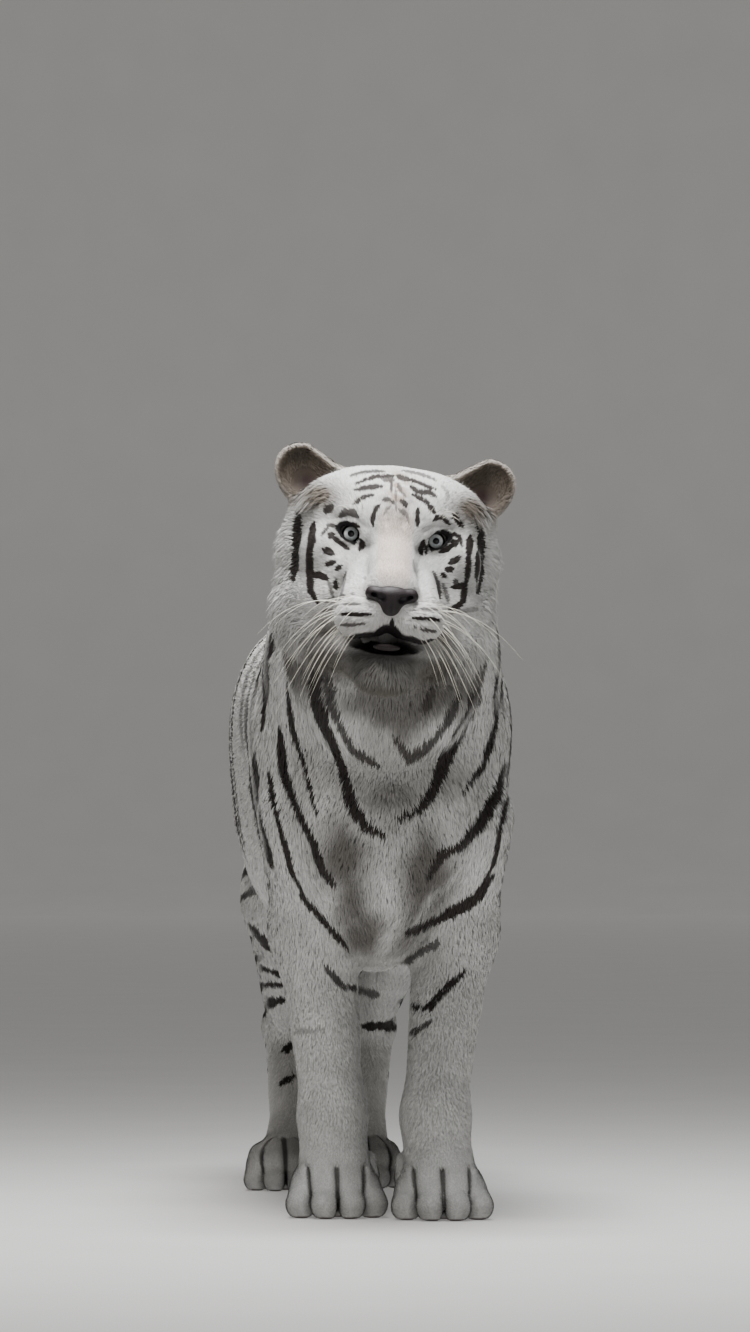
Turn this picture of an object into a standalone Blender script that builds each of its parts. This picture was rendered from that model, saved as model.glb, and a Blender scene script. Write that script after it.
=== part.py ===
"""White tiger, standing and looking ahead: a still, life-size model.

Metres, +Z up. The animal faces -Y, its own left side is +X, and its soles
are flat on z = 0. The flesh is modelled whole from balls and tapered bones
of flesh, and then parted with thin cuts where a person names its parts.
"""
import math

import bmesh
import bpy
from mathutils import Euler, Matrix, Vector

# Driving sizes of the animal
WITHERS_Y = 0.10
WITHERS_Z = 0.825
BARREL_HALF_WIDTH = 0.205
CHEST_HALF_WIDTH = 0.165
HIP_HALF_WIDTH = 0.140
ELBOW_Z = 0.435
WRIST_Z = 0.150
KNEE_Z = 0.480
HOCK_Z = 0.262
SOLE_Z = 0.0
TOE_FLAT = 0.002

# The head: its frame stands midway between the eyes
HEAD_AT = Vector((-0.0023, -0.400, 1.010))
HEAD_TURN = Euler((math.radians(-1.0), math.radians(5.0), math.radians(-1.0)))
EYE_RADIUS = 0.0190
EYE_OUT = 0.0625
EYE_BACK = 0.0205
EYE_SLANT = 26
SOCKET_RADIUS = 0.0198
LID_THICKNESS = 0.0045
APERTURE_HALF_WIDTH = 0.0165
APERTURE_HALF_HEIGHT = 0.0098
APERTURE_REACH = 0.030

# Working sizes of the mesh: the grain that flesh is grown at, and its triangles
PART_GAP = 0.0004
SEAT_GAP = 0.0009
WELD = 0.00005
BODY_GRAIN = 0.009
HEAD_GRAIN = 0.0052
PAW_GRAIN = 0.0045
EAR_GRAIN = 0.0032
NOSE_GRAIN = 0.0022
BODY_FACES = 1560
HEAD_FACES = 1250
PAW_FACES = 260
EAR_FACES = 150
NOSE_FACES = 120
TAIL_FACES = 420
TONGUE_SHARE = 0.04
BODY_SMOOTHING = 14
HEAD_SMOOTHING = 10
TAIL_SMOOTHING = 6
SMALL_SMOOTHING = 4
PAW_SMOOTHING = 2
BODY_SWELL = 0.0022
TAIL_SWELL = 0.0011
HEAD_SWELL = 0.0012
PAW_SWELL = 0.0004
FORM_ROUNDNESS = 4
CUTTER_ROUNDNESS = 3
SMALL_CUTTER_ROUNDNESS = 2

SIDES = {"left": 1, "right": -1}

for old in list(bpy.data.objects):
    bpy.data.objects.remove(old, do_unlink=True)


# Forms of flesh: balls are (centre, radii, turn), bones are (end, end, radius, radius, spread)
def ball(at, size, turn=(0, 0, 0)):
    return {"at": Vector(at), "size": size, "turn": turn}


def bone(start, end, start_radius, end_radius, spread=(1, 1, 1)):
    return {"from": Vector(start), "to": Vector(end), "radii": (start_radius, end_radius), "spread": spread}


def both_sides(make):
    return make(-1) + make(1)


def in_head(form):
    """The same form, moved from the head's frame into the animal's."""
    frame = Matrix.LocRotScale(HEAD_AT, HEAD_TURN, (1, 1, 1))
    moved = dict(form)
    for key in ("at", "from", "to"):
        if key in form:
            moved[key] = frame @ form[key]
    moved["frame"] = HEAD_TURN.to_matrix()
    return moved


def trunk_forms():
    return [
        ball((0, 0.03, 0.650), (CHEST_HALF_WIDTH, 0.26, 0.270)),
        ball((0, WITHERS_Y, WITHERS_Z), (0.140, 0.22, 0.128)),
        ball((0, 0.36, 0.645), (BARREL_HALF_WIDTH, 0.33, 0.258)),
        ball((0, 0.60, 0.600), (0.186, 0.30, 0.212)),
        ball((0, 0.68, 0.745), (0.145, 0.36, 0.148)),
        ball((0, 1.00, 0.735), (HIP_HALF_WIDTH, 0.20, 0.160)),
        bone((0, -0.12, 0.52), (0, 0.14, 0.445), 0.085, 0.075),
        ball((0, -0.15, 0.62), (0.130, 0.10, 0.150)),
    ] + both_sides(lambda s: [
        ball((s * 0.118 + 0.004, 0.03, 0.70), (0.080, 0.135, 0.185), (12, 0, 0)),
        ball((s * 0.098, 0.30, 0.760), (0.108, 0.28, 0.145)),
        ball((s * 0.088, 0.97, 0.655), (0.078, 0.17, 0.200), (-8, 0, 0)),
    ])


def neck_forms():
    return [
        bone((0, -0.19, 0.905), (0, -0.03, 0.76), 0.148, 0.178),
        ball((0, -0.11, 0.850), (0.166, 0.15, 0.145)),
        ball((0, -0.235, 0.80), (0.125, 0.10, 0.120)),
    ]


def toe_forms(paw_x, paw_y, outer_x, inner_x, outer_y, inner_y, radius):
    """Four toes that reach forward from the paw, the middle pair further."""
    toes = []
    for out, ahead in ((-outer_x, outer_y), (-inner_x, inner_y), (inner_x, inner_y), (outer_x, outer_y)):
        knuckle = (paw_x + out * 0.72, paw_y + ahead + 0.047, 0.045)
        tip = (paw_x + out, paw_y + ahead, radius - TOE_FLAT)
        toes.append(bone(knuckle, tip, radius + 0.001, radius))
    return toes


def front_paw_forms(s, stance):
    wrist_x, wrist_y = stance["wrist"]
    x, y = stance["paw"]
    return [
        ball((wrist_x, wrist_y - 0.006, WRIST_Z), (0.049, 0.052, 0.050)),
        bone((wrist_x, wrist_y, 0.14), (x, y + 0.010, 0.055), 0.047, 0.046),
        ball((x, y - 0.008, 0.040), (0.070, 0.072, 0.045)),
        bone((x - s * 0.052, y + 0.035, 0.085), (x - s * 0.058, y + 0.018, 0.062), 0.013, 0.010),
    ] + toe_forms(x, y, 0.054, 0.0185, -0.046, -0.076, 0.0230)


def front_leg_forms(s, stance):
    elbow_x, elbow_y = stance["elbow"]
    wrist_x, wrist_y = stance["wrist"]
    return [
        bone((stance["shoulder"], -0.07, 0.60), (elbow_x, elbow_y, ELBOW_Z), 0.072, 0.064),
        ball((elbow_x, elbow_y - 0.015, 0.43), (0.058, 0.080, 0.075)),
        bone((elbow_x, elbow_y - 0.02, 0.42), (wrist_x, wrist_y, 0.165), 0.060, 0.046, (1, 1.12, 1)),
    ] + front_paw_forms(s, stance)


def hind_paw_forms(stance):
    ankle_x, ankle_y = stance["ankle"]
    x, y = stance["paw"]
    return [
        bone((ankle_x, ankle_y, 0.085), (x, y + 0.010, 0.050), 0.038, 0.042),
        ball((x, y - 0.008, 0.036), (0.060, 0.072, 0.041)),
    ] + toe_forms(x, y, 0.046, 0.016, -0.048, -0.074, 0.0205)


def hind_leg_forms(s, stance):
    knee_x, knee_y = stance["knee"]
    hock_x, hock_y = stance["hock"]
    ankle_x, ankle_y = stance["ankle"]
    return [
        bone((s * 0.092, 0.96, 0.64), (knee_x, knee_y, KNEE_Z), 0.115, 0.078, (0.66, 1.05, 1)),
        bone((s * 0.080, 1.06, 0.60), (hock_x, hock_y - 0.03, 0.36), 0.100, 0.045, (0.66, 1, 1)),
        bone((knee_x, knee_y + 0.01, 0.47), (hock_x, hock_y - 0.015, 0.275), 0.070, 0.040, (0.85, 1.1, 1)),
        ball((hock_x, hock_y + 0.008, HOCK_Z), (0.037, 0.046, 0.042)),
        bone((hock_x, hock_y, 0.25), (ankle_x, ankle_y, 0.085), 0.036, 0.037, (1, 1.1, 1)),
    ] + hind_paw_forms(stance)


# Where each leg stands: x and y of its landmarks
FRONT_STANCE = {
    "right": {
        "shoulder": -0.112, "elbow": (-0.092, 0.055), "wrist": (-0.068, 0.020), "paw": (-0.066, -0.010)},
    "left": {
        "shoulder": 0.128, "elbow": (0.114, 0.045), "wrist": (0.084, -0.035), "paw": (0.088, -0.080)},
}
HIND_STANCE = {
    "right": {
        "knee": (-0.108, 0.78), "hock": (-0.086, 1.03), "ankle": (-0.080, 0.93), "paw": (-0.100, 0.875)},
    "left": {
        "knee": (0.105, 0.82), "hock": (0.055, 1.09), "ankle": (0.032, 1.00), "paw": (0.038, 0.955)},
}

# The tail's middle line and its radius at each point
TAIL_LINE = [
    ((0, 1.130, 0.810), 0.060), ((0, 1.215, 0.770), 0.050), ((0, 1.285, 0.680), 0.042),
    ((0, 1.325, 0.550), 0.039), ((-0.008, 1.350, 0.420), 0.037), ((-0.018, 1.375, 0.310), 0.036),
    ((-0.030, 1.420, 0.215), 0.035), ((-0.042, 1.490, 0.160), 0.034), ((-0.050, 1.560, 0.155), 0.031),
    ((-0.050, 1.615, 0.190), 0.022),
]


def tail_forms():
    steps = zip(TAIL_LINE, TAIL_LINE[1:])
    return [bone(a, b, ra, rb) for (a, ra), (b, rb) in steps]


def ruff_forms():
    """The back of the head and the long fur that frames the face."""
    return [ball((0, 0.150, -0.010), (0.125, 0.095, 0.108))] + both_sides(lambda s: [
        ball((s * 0.112, 0.125, -0.018), (0.052, 0.056, 0.078)),
        ball((s * 0.108, 0.122, -0.102), (0.056, 0.060, 0.070)),
    ])


def skull_forms():
    return [
        ball((0, 0.095, 0.024), (0.108, 0.120, 0.086)),
        ball((0, 0.032, 0.008), (0.076, 0.060, 0.056)),
        bone((0, -0.008, -0.016), (0, -0.092, -0.076), 0.033, 0.030, (1.12, 1, 1)),
        ball((0, -0.088, -0.096), (0.042, 0.038, 0.042)),
        ball((0, 0.090, -0.130), (0.095, 0.095, 0.075)),
    ] + both_sides(lambda s: [
        ball((s * 0.058, 0.088, 0.044), (0.054, 0.085, 0.056)),
        ball((s * 0.046, 0.018, 0.025), (0.034, 0.031, 0.022), (0, s * 12, 0)),
        ball((s * 0.096, 0.092, 0.034), (0.044, 0.056, 0.048)),
        ball((s * 0.088, 0.062, -0.030), (0.046, 0.068, 0.052)),
        ball((s * 0.060, 0.020, -0.056), (0.038, 0.046, 0.034)),
        bone((s * 0.034, -0.006, -0.048), (s * 0.044, -0.052, -0.104), 0.029, 0.035),
        ball((s * 0.076, 0.034, -0.098), (0.044, 0.056, 0.050)),
        ball((s * 0.090, 0.085, -0.098), (0.050, 0.074, 0.058)),
        ball((s * 0.038, -0.080, -0.124), (0.042, 0.044, 0.033), (0, 0, s * 14)),
        ball((s * EYE_OUT, EYE_BACK, 0), (EYE_RADIUS + LID_THICKNESS,) * 3),
    ])


def jaw_forms():
    return [ball((0, -0.054, -0.200), (0.040, 0.037, 0.031))] + both_sides(lambda s: [
        bone((s * 0.014, -0.042, -0.192), (s * 0.066, 0.070, -0.146), 0.027, 0.046),
    ])


def mouth_forms():
    return [
        ball((0, -0.088, -0.160), (0.056, 0.050, 0.0125)),
        bone((0, -0.130, -0.128), (0, -0.106, -0.160), 0.0030, 0.0220),
    ]


def tongue_forms():
    return [ball((0, -0.082, -0.1668), (0.018, 0.030, 0.0046))]


def nose_forms():
    return [
        ball((0, -0.116, -0.092), (0.028, 0.017, 0.016)),
        ball((0, -0.118, -0.107), (0.014, 0.014, 0.014)),
    ] + both_sides(lambda s: [ball((s * 0.0255, -0.111, -0.089), (0.0135, 0.013, 0.011))])


def nostril_forms():
    return both_sides(lambda s: [ball((s * 0.0185, -0.131, -0.097), (0.009, 0.009, 0.0065))])


def ear_forms(s):
    return [
        bone((s * 0.112, 0.118, 0.050), (s * 0.128, 0.122, 0.076), 0.034, 0.036, (1, 0.62, 1)),
        bone((s * 0.139, 0.124, 0.095), (s * 0.090, 0.116, 0.084), 0.0400, 0.0230, (1, 0.56, 1)),
    ]


def ear_cup_forms(s):
    return [bone((s * 0.139, 0.099, 0.093), (s * 0.096, 0.093, 0.086), 0.0375, 0.0200, (1, 0.84, 1))]


# Modelling tools
def add_form(mesh, form, margin, roundness):
    """Adds one ball, block or tapered bone to the bmesh as a closed shell."""
    frame = form.get("frame", Matrix.Identity(3)).to_4x4()
    if "near" in form:
        middle = (form["near"] + form["far"]) / 2
        size = [edge + 2 * margin for edge in form["far"] - form["near"]]
        place = form["place"] @ Matrix.Translation(middle) @ Matrix.Diagonal((*size, 1))
        bmesh.ops.create_cube(mesh, size=1, matrix=place)
        return
    if "at" in form:
        turn = Euler([math.radians(a) for a in form["turn"]]).to_matrix().to_4x4()
        size = [radius + margin for radius in form["size"]]
        place = Matrix.Translation(form["at"]) @ frame @ turn @ Matrix.Diagonal((*size, 1))
        bmesh.ops.create_icosphere(mesh, subdivisions=roundness, radius=1, matrix=place)
        return
    add_bone(mesh, form, frame, margin)


def add_bone(mesh, form, frame, margin):
    """A bone is the hull of a ball at each end."""
    balls = bmesh.new()
    for point, radius in zip((form["from"], form["to"]), form["radii"]):
        size = [radius * s + margin for s in form["spread"]]
        place = Matrix.Translation(point) @ frame @ Matrix.Diagonal((*size, 1))
        bmesh.ops.create_icosphere(balls, subdivisions=3, radius=1, matrix=place)
    corners = [mesh.verts.new(vert.co) for vert in balls.verts]
    balls.free()
    hull = bmesh.ops.convex_hull(mesh, input=corners)
    inner = [part for part in hull["geom_interior"] if isinstance(part, bmesh.types.BMVert)]
    bmesh.ops.delete(mesh, geom=inner, context="VERTS")


def mesh_object(name, mesh):
    data = bpy.data.meshes.new(name)
    mesh.to_mesh(data)
    mesh.free()
    made = bpy.data.objects.new(name, data)
    bpy.context.scene.collection.objects.link(made)
    return made


def shape(name, forms, margin=0.0, roundness=FORM_ROUNDNESS):
    """The forms as they are, in one mesh, grown by the margin."""
    mesh = bmesh.new()
    for form in forms:
        add_form(mesh, form, margin, roundness)
    return mesh_object(name, mesh)


def block(near, far, place=None):
    """A cutting block between two corners, as a form."""
    return {"near": Vector(near), "far": Vector(far), "place": place or Matrix.Identity(4)}


def bake(thing):
    """Replaces the object's mesh by what its modifiers make of it."""
    graph = bpy.context.evaluated_depsgraph_get()
    made = bpy.data.meshes.new_from_object(thing.evaluated_get(graph))
    thing.modifiers.clear()
    thing.data = made


def flesh(name, forms, grain, faces, smoothing, swell=0.0):
    """Grows the forms into one smooth skin of about the given number of triangles.

    The swell makes up for what smoothing takes off round forms.
    """
    thing = shape(name, forms, swell)
    remesh = thing.modifiers.new("remesh", "REMESH")
    remesh.mode = "VOXEL"
    remesh.voxel_size = grain
    smooth = thing.modifiers.new("smooth", "SMOOTH")
    smooth.factor = 0.5
    smooth.iterations = smoothing
    bake(thing)
    thin = thing.modifiers.new("thin", "DECIMATE")
    thin.ratio = min(1.0, faces / (2 * len(thing.data.polygons)))
    bake(thing)
    return thing


def cut(thing, forms, operation="DIFFERENCE", margin=0.0, roundness=CUTTER_ROUNDNESS):
    """Takes the forms out of the piece, or keeps only what is inside them."""
    cutter = shape("cutter", forms, margin, roundness)
    modifier = thing.modifiers.new("cut", "BOOLEAN")
    modifier.operation = operation
    modifier.solver = "EXACT"
    modifier.object = cutter
    bake(thing)
    bpy.data.objects.remove(cutter)


def copy_of(thing, name):
    made = bpy.data.objects.new(name, thing.data.copy())
    bpy.context.scene.collection.objects.link(made)
    return made


def part_off(thing, name, form):
    """Cuts what lies inside the form off as a piece of its own, a thin gap apart."""
    piece = copy_of(thing, name)
    cut(piece, [form], "INTERSECT", -PART_GAP / 2)
    cut(thing, [form], "DIFFERENCE", PART_GAP / 2)
    return piece


def clear_of(thing, other):
    """Cuts the other piece, grown by the gap of a seat, out of this one."""
    cutter = copy_of(other, "cutter")
    grow = cutter.modifiers.new("grow", "DISPLACE")
    grow.strength = SEAT_GAP
    grow.mid_level = 0
    bake(cutter)
    modifier = thing.modifiers.new("cut", "BOOLEAN")
    modifier.solver = "EXACT"
    modifier.object = cutter
    bake(thing)
    bpy.data.objects.remove(cutter)


def keep_largest(thing):
    """Drops crumbs that a cut leaves beside the piece, and makes every face a triangle."""
    mesh = bmesh.new()
    mesh.from_mesh(thing.data)
    bmesh.ops.remove_doubles(mesh, verts=mesh.verts, dist=WELD)
    unseen = set(mesh.verts)
    islands = []
    while unseen:
        reached = [unseen.pop()]
        island = []
        while reached:
            vert = reached.pop()
            island.append(vert)
            for edge in vert.link_edges:
                other = edge.other_vert(vert)
                if other in unseen:
                    unseen.remove(other)
                    reached.append(other)
        islands.append(island)
    islands.sort(key=len, reverse=True)
    for island in islands[1:]:
        bmesh.ops.delete(mesh, geom=island, context="VERTS")
    bmesh.ops.triangulate(mesh, faces=mesh.faces)
    mesh.to_mesh(thing.data)
    mesh.free()


def tipped(at, pitch, roll=0.0):
    """A place at the point, tipped about X by the pitch and about Y by the roll, in degrees."""
    return Matrix.Translation(at) @ Euler((math.radians(pitch), math.radians(roll), 0)).to_matrix().to_4x4()


# Where the animal is parted
HEAD_CUT = tipped((0, -0.225, 0.95), pitch=-16.5)
NECK_CUT = tipped((0, -0.015, 0.80), pitch=-35)
JAW_TOP = -0.162
JAW_BACK = 0.075
FRONT_PARTING = 0.008
HIND_PARTING = -0.018
ANKLE_Z = 0.095
ELBOW_CUT_Z = 0.355
HOCK_CUT_Z = 0.270
KNEE_CUT_Z = 0.380
TAIL_Y = 1.215
TAIL_MIDDLE_Z = 0.540
TAIL_TIP_Z = 0.270
WIDE = 0.6
HEAD_REACH = 0.2


def make_head():
    forms = [in_head(form) for form in ruff_forms() + skull_forms() + jaw_forms()]
    head = flesh("head", forms + neck_forms(), HEAD_GRAIN, HEAD_FACES, HEAD_SMOOTHING, HEAD_SWELL)
    cut(head, [block((-WIDE, 0, -WIDE), (WIDE, 1, WIDE), HEAD_CUT)], margin=PART_GAP / 2)
    pieces = {"head": (head, "coat")}
    for side, s in SIDES.items():
        ear = flesh("ear", [in_head(form) for form in ear_forms(s)], EAR_GRAIN, EAR_FACES, SMALL_SMOOTHING)
        cut(ear, [in_head(form) for form in ear_cup_forms(s)])
        clear_of(ear, head)
        pieces["ear_" + side] = (ear, "ear")
    nose = flesh("nose", [in_head(form) for form in nose_forms()], NOSE_GRAIN, NOSE_FACES, SMALL_SMOOTHING)
    clear_of(head, nose)
    for form in nostril_forms():
        cut(nose, [in_head(form)], roundness=SMALL_CUTTER_ROUNDNESS)
    pieces["nose"] = (nose, "nose")
    for form in mouth_forms():
        cut(head, [in_head(form)])
    for side, s in SIDES.items():
        at = (s * EYE_OUT, EYE_BACK, 0)
        aperture = (APERTURE_HALF_WIDTH, APERTURE_REACH, APERTURE_HALF_HEIGHT)
        opening = ball((s * EYE_OUT, -0.004, 0), aperture, (0, -s * EYE_SLANT, 0))
        cut(head, [in_head(ball(at, (SOCKET_RADIUS,) * 3))])
        cut(head, [in_head(opening)], roundness=SMALL_CUTTER_ROUNDNESS)
        mesh = bmesh.new()
        centre = Matrix.Translation(in_head(ball(at, (1, 1, 1)))["at"])
        bmesh.ops.create_uvsphere(mesh, u_segments=14, v_segments=8, radius=EYE_RADIUS, matrix=centre)
        pieces["eye_" + side] = (mesh_object("eye", mesh), "eye")
    jaw_place = Matrix.LocRotScale(HEAD_AT, HEAD_TURN, (1, 1, 1))
    near = (-HEAD_REACH, -HEAD_REACH, -2 * HEAD_REACH)
    jaw = part_off(head, "lower_jaw", block(near, (HEAD_REACH, JAW_BACK, JAW_TOP), jaw_place))
    pieces["lower_jaw"] = (jaw, "coat")
    tongue = shape("tongue", [in_head(form) for form in tongue_forms()])
    thin = tongue.modifiers.new("thin", "DECIMATE")
    thin.ratio = TONGUE_SHARE
    bake(tongue)
    pieces["tongue"] = (tongue, "tongue")
    return pieces


def make_paws():
    pieces = {}
    below = block((-WIDE, -WIDE, SOLE_Z), (WIDE, 2, ANKLE_Z - PART_GAP))
    for side, s in SIDES.items():
        toes = front_paw_forms(s, FRONT_STANCE[side])
        front = flesh("paw", toes, PAW_GRAIN, PAW_FACES, PAW_SMOOTHING, PAW_SWELL)
        cut(front, [below], "INTERSECT")
        pieces["front_paw_" + side] = (front, "coat")
        shin = hind_leg_forms(s, HIND_STANCE[side])[4:]
        hind = flesh("paw", shin, PAW_GRAIN, PAW_FACES, PAW_SMOOTHING, PAW_SWELL)
        cut(hind, [below], "INTERSECT")
        pieces["hind_paw_" + side] = (hind, "coat")
    return pieces


def make_body():
    forms = trunk_forms() + neck_forms() + tail_forms() + [in_head(form) for form in ruff_forms()]
    for side, s in SIDES.items():
        forms += front_leg_forms(s, FRONT_STANCE[side]) + hind_leg_forms(s, HIND_STANCE[side])
    body = flesh("trunk", forms, BODY_GRAIN, BODY_FACES, BODY_SMOOTHING, BODY_SWELL)
    cut(body, [block((-WIDE, -1, -WIDE), (WIDE, 0, WIDE), HEAD_CUT)], margin=PART_GAP / 2)
    cut(body, [block((-WIDE, -WIDE, -0.1), (WIDE, 2, ANKLE_Z))])
    pieces = {}
    neck = part_off(body, "neck", block((-WIDE, -1, -0.35), (WIDE, 0, WIDE), NECK_CUT))
    pieces["neck"] = (neck, "coat")
    cut(body, [block((-WIDE, TAIL_Y - PART_GAP, 0), (WIDE, 2, 1))])
    for side, s in SIDES.items():
        near, far = sorted((FRONT_PARTING, s * WIDE))
        lower = part_off(body, "leg", block((near, -0.3, 0), (far, 0.3, ELBOW_CUT_Z)))
        upper = part_off(body, "leg", ball((s * 0.190, 0.03, 0.47), (0.150, 0.21, 0.21), (0, s * 12, 0)))
        near, far = sorted((HIND_PARTING, s * WIDE))
        instep = part_off(body, "leg", block((near, 0.6, 0), (far, 1.25, HOCK_CUT_Z)))
        shank = part_off(body, "leg", block((near, 0.6, 0), (far, 1.25, KNEE_CUT_Z)))
        thigh = part_off(body, "leg", ball((s * 0.175, 0.97, 0.55), (0.165, 0.28, 0.30), (0, s * 14, 0)))
        pieces["front_lower_leg_" + side] = (lower, "coat")
        pieces["front_upper_leg_" + side] = (upper, "coat")
        pieces["hind_instep_" + side] = (instep, "coat")
        pieces["hind_shank_" + side] = (shank, "coat")
        pieces["hind_thigh_" + side] = (thigh, "coat")
    pieces["trunk"] = (body, "coat")
    return pieces


def make_tail():
    tail = flesh("tail", tail_forms(), BODY_GRAIN, TAIL_FACES, TAIL_SMOOTHING, TAIL_SWELL)
    cut(tail, [block((-WIDE, 0, 0), (WIDE, TAIL_Y, 1))])
    tip = part_off(tail, "tail", block((-WIDE, TAIL_Y - 0.1, 0), (WIDE, 2, TAIL_TIP_Z)))
    middle = part_off(tail, "tail", block((-WIDE, TAIL_Y - 0.1, 0), (WIDE, 2, TAIL_MIDDLE_Z)))
    return {"tail_tip": (tip, "tail"), "tail_middle": (middle, "tail"), "tail_base": (tail, "tail")}


LOOKS = {
    "coat": {"colour": (0.62, 0.60, 0.57), "roughness": 0.85},
    "tail": {"colour": (0.50, 0.48, 0.46), "roughness": 0.85},
    "ear": {"colour": (0.36, 0.32, 0.29), "roughness": 0.85},
    "nose": {"colour": (0.10, 0.06, 0.06), "roughness": 0.45},
    "eye": {"colour": (0.42, 0.52, 0.56), "roughness": 0.08},
    "tongue": {"colour": (0.25, 0.10, 0.10), "roughness": 0.50},
}


def finish(thing, name, look):
    """Names the piece, puts its origin at its middle and gives it its material."""
    keep_largest(thing)
    thing.name = name
    thing.data.name = name
    corners = [Vector(corner) for corner in thing.bound_box]
    middle = sum(corners, Vector()) / 8
    thing.data.transform(Matrix.Translation(-middle))
    thing.location = middle
    thing.data.shade_smooth()
    material = bpy.data.materials.new(name + "_" + look)
    material.use_nodes = True
    shader = material.node_tree.nodes["Principled BSDF"]
    shader.inputs["Base Color"].default_value = (*LOOKS[look]["colour"], 1)
    shader.inputs["Roughness"].default_value = LOOKS[look]["roughness"]
    shader.inputs["Metallic"].default_value = 0.0
    thing.data.materials.clear()
    thing.data.materials.append(material)


def stand_on_middle(pieces):
    """Parents every piece to one empty that brings the middle of the whole over the origin."""
    points = []
    for thing, look in pieces.values():
        points += [vert.co + thing.location for vert in thing.data.vertices]
    low = Vector([min(point[axis] for point in points) for axis in range(3)])
    high = Vector([max(point[axis] for point in points) for axis in range(3)])
    stance = bpy.data.objects.new("stance", None)
    bpy.context.scene.collection.objects.link(stance)
    stance.location = (-(low.x + high.x) / 2, -(low.y + high.y) / 2, 0)
    for thing, look in pieces.values():
        thing.parent = stance


def build():
    pieces = {**make_head(), **make_body(), **make_tail(), **make_paws()}
    for name, (thing, look) in pieces.items():
        finish(thing, name, look)
    stand_on_middle(pieces)


build()
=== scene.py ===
import math

import bmesh
import bpy
import numpy as np
from mathutils import Euler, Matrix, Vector


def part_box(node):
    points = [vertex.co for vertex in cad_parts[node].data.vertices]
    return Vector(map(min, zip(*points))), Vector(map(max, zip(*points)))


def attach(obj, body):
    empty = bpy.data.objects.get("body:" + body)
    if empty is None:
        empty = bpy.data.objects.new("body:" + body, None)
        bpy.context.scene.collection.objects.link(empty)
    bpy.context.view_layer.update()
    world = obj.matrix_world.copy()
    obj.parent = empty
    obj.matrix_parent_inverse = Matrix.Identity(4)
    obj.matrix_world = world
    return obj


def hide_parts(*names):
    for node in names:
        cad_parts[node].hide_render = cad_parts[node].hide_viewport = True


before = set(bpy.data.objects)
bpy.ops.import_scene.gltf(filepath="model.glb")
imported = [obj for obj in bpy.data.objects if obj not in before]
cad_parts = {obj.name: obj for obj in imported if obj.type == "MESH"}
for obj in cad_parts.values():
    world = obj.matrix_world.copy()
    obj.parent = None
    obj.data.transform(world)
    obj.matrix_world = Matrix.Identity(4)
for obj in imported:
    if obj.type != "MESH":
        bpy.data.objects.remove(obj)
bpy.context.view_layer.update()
print("frame loaded", len(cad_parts), "nodes")

sides = {"left": 1, "right": -1}   # the animal's own left is +X


# shapes: balls and tapered bones of flesh, as distances in metres
def turnOf(degrees):
    return np.array(Euler([math.radians(a) for a in degrees]).to_matrix())


def ball(at, size, turn=(0, 0, 0), blend=.03):
    return {"at": np.array(at, float), "size": np.array(size, float), "turn": turnOf(turn), "blend": blend,
            "mid": np.array(at, float), "reach": max(size)}


def bone(start, end, r0, r1, spread=(1, 1, 1), blend=.03):
    start, end, spread = np.array(start, float), np.array(end, float), np.array(spread, float)
    reach = lengthOf(end - start) / 2 + max(r0, r1) * spread.max()
    return {"start": start, "end": end, "radii": (r0, r1), "spread": spread, "blend": blend,
            "mid": (start + end) / 2, "reach": reach}


def bothSides(make):
    return make(-1) + make(1)


def lengthOf(v):
    return np.linalg.norm(v, axis=-1)


def unit(v):
    return v / np.maximum(np.linalg.norm(v, axis=-1, keepdims=True), 1e-9)


def ease(low, high, x):   # 0 below low, 1 above high, smooth between
    t = np.clip((x - low) / (high - low), 0, 1)
    return t * t * (3 - 2 * t)


def mix(a, b, t):
    return np.asarray(a) * (1 - t[:, None]) + np.asarray(b) * t[:, None]


def distanceTo(form, p):
    if "at" in form:
        q = (p - form["at"]) @ form["turn"] / form["size"]
        near = lengthOf(q)
        return near * (near - 1) / (lengthOf(q / form["size"]) + 1e-9)
    line = form["end"] - form["start"]
    t = np.clip((p - form["start"]) @ line / (line @ line), 0, 1)
    radius = form["radii"][0] + (form["radii"][1] - form["radii"][0]) * t
    off = (p - form["start"] - t[:, None] * line) / form["spread"]
    return (lengthOf(off) - radius) * form["spread"].min()


def softMin(a, b, k):
    h = np.clip(.5 + .5 * (b - a) / k, 0, 1)
    return b + (a - b) * h - k * h * (1 - h)


def nearTo(form, p, margin):
    return np.nonzero(((p - form["mid"]) ** 2).sum(1) < (form["reach"] + margin) ** 2)[0]


def grow(forms, p, start=None):   # joins the forms smoothly; far from all of them it is .2
    f = np.full(len(p), .2) if start is None else start.copy()
    for form in forms:
        near = nearTo(form, p, .09)
        if len(near):
            f[near] = softMin(f[near], distanceTo(form, p[near]), form["blend"])
    return f


def carve(f, forms, p):
    f = f.copy()
    for form in forms:
        near = nearTo(form, p, .03)
        if len(near):
            f[near] = -softMin(-f[near], distanceTo(form, p[near]), form["blend"])
    return f


# the body
body = {"withers": (0, .10, .825), "barrelHalfWidth": .205, "chestHalfWidth": .165, "hipHalfWidth": .140,
        "elbowHeight": .435, "wristHeight": .150, "kneeHeight": .480, "hockHeight": .262}

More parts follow.
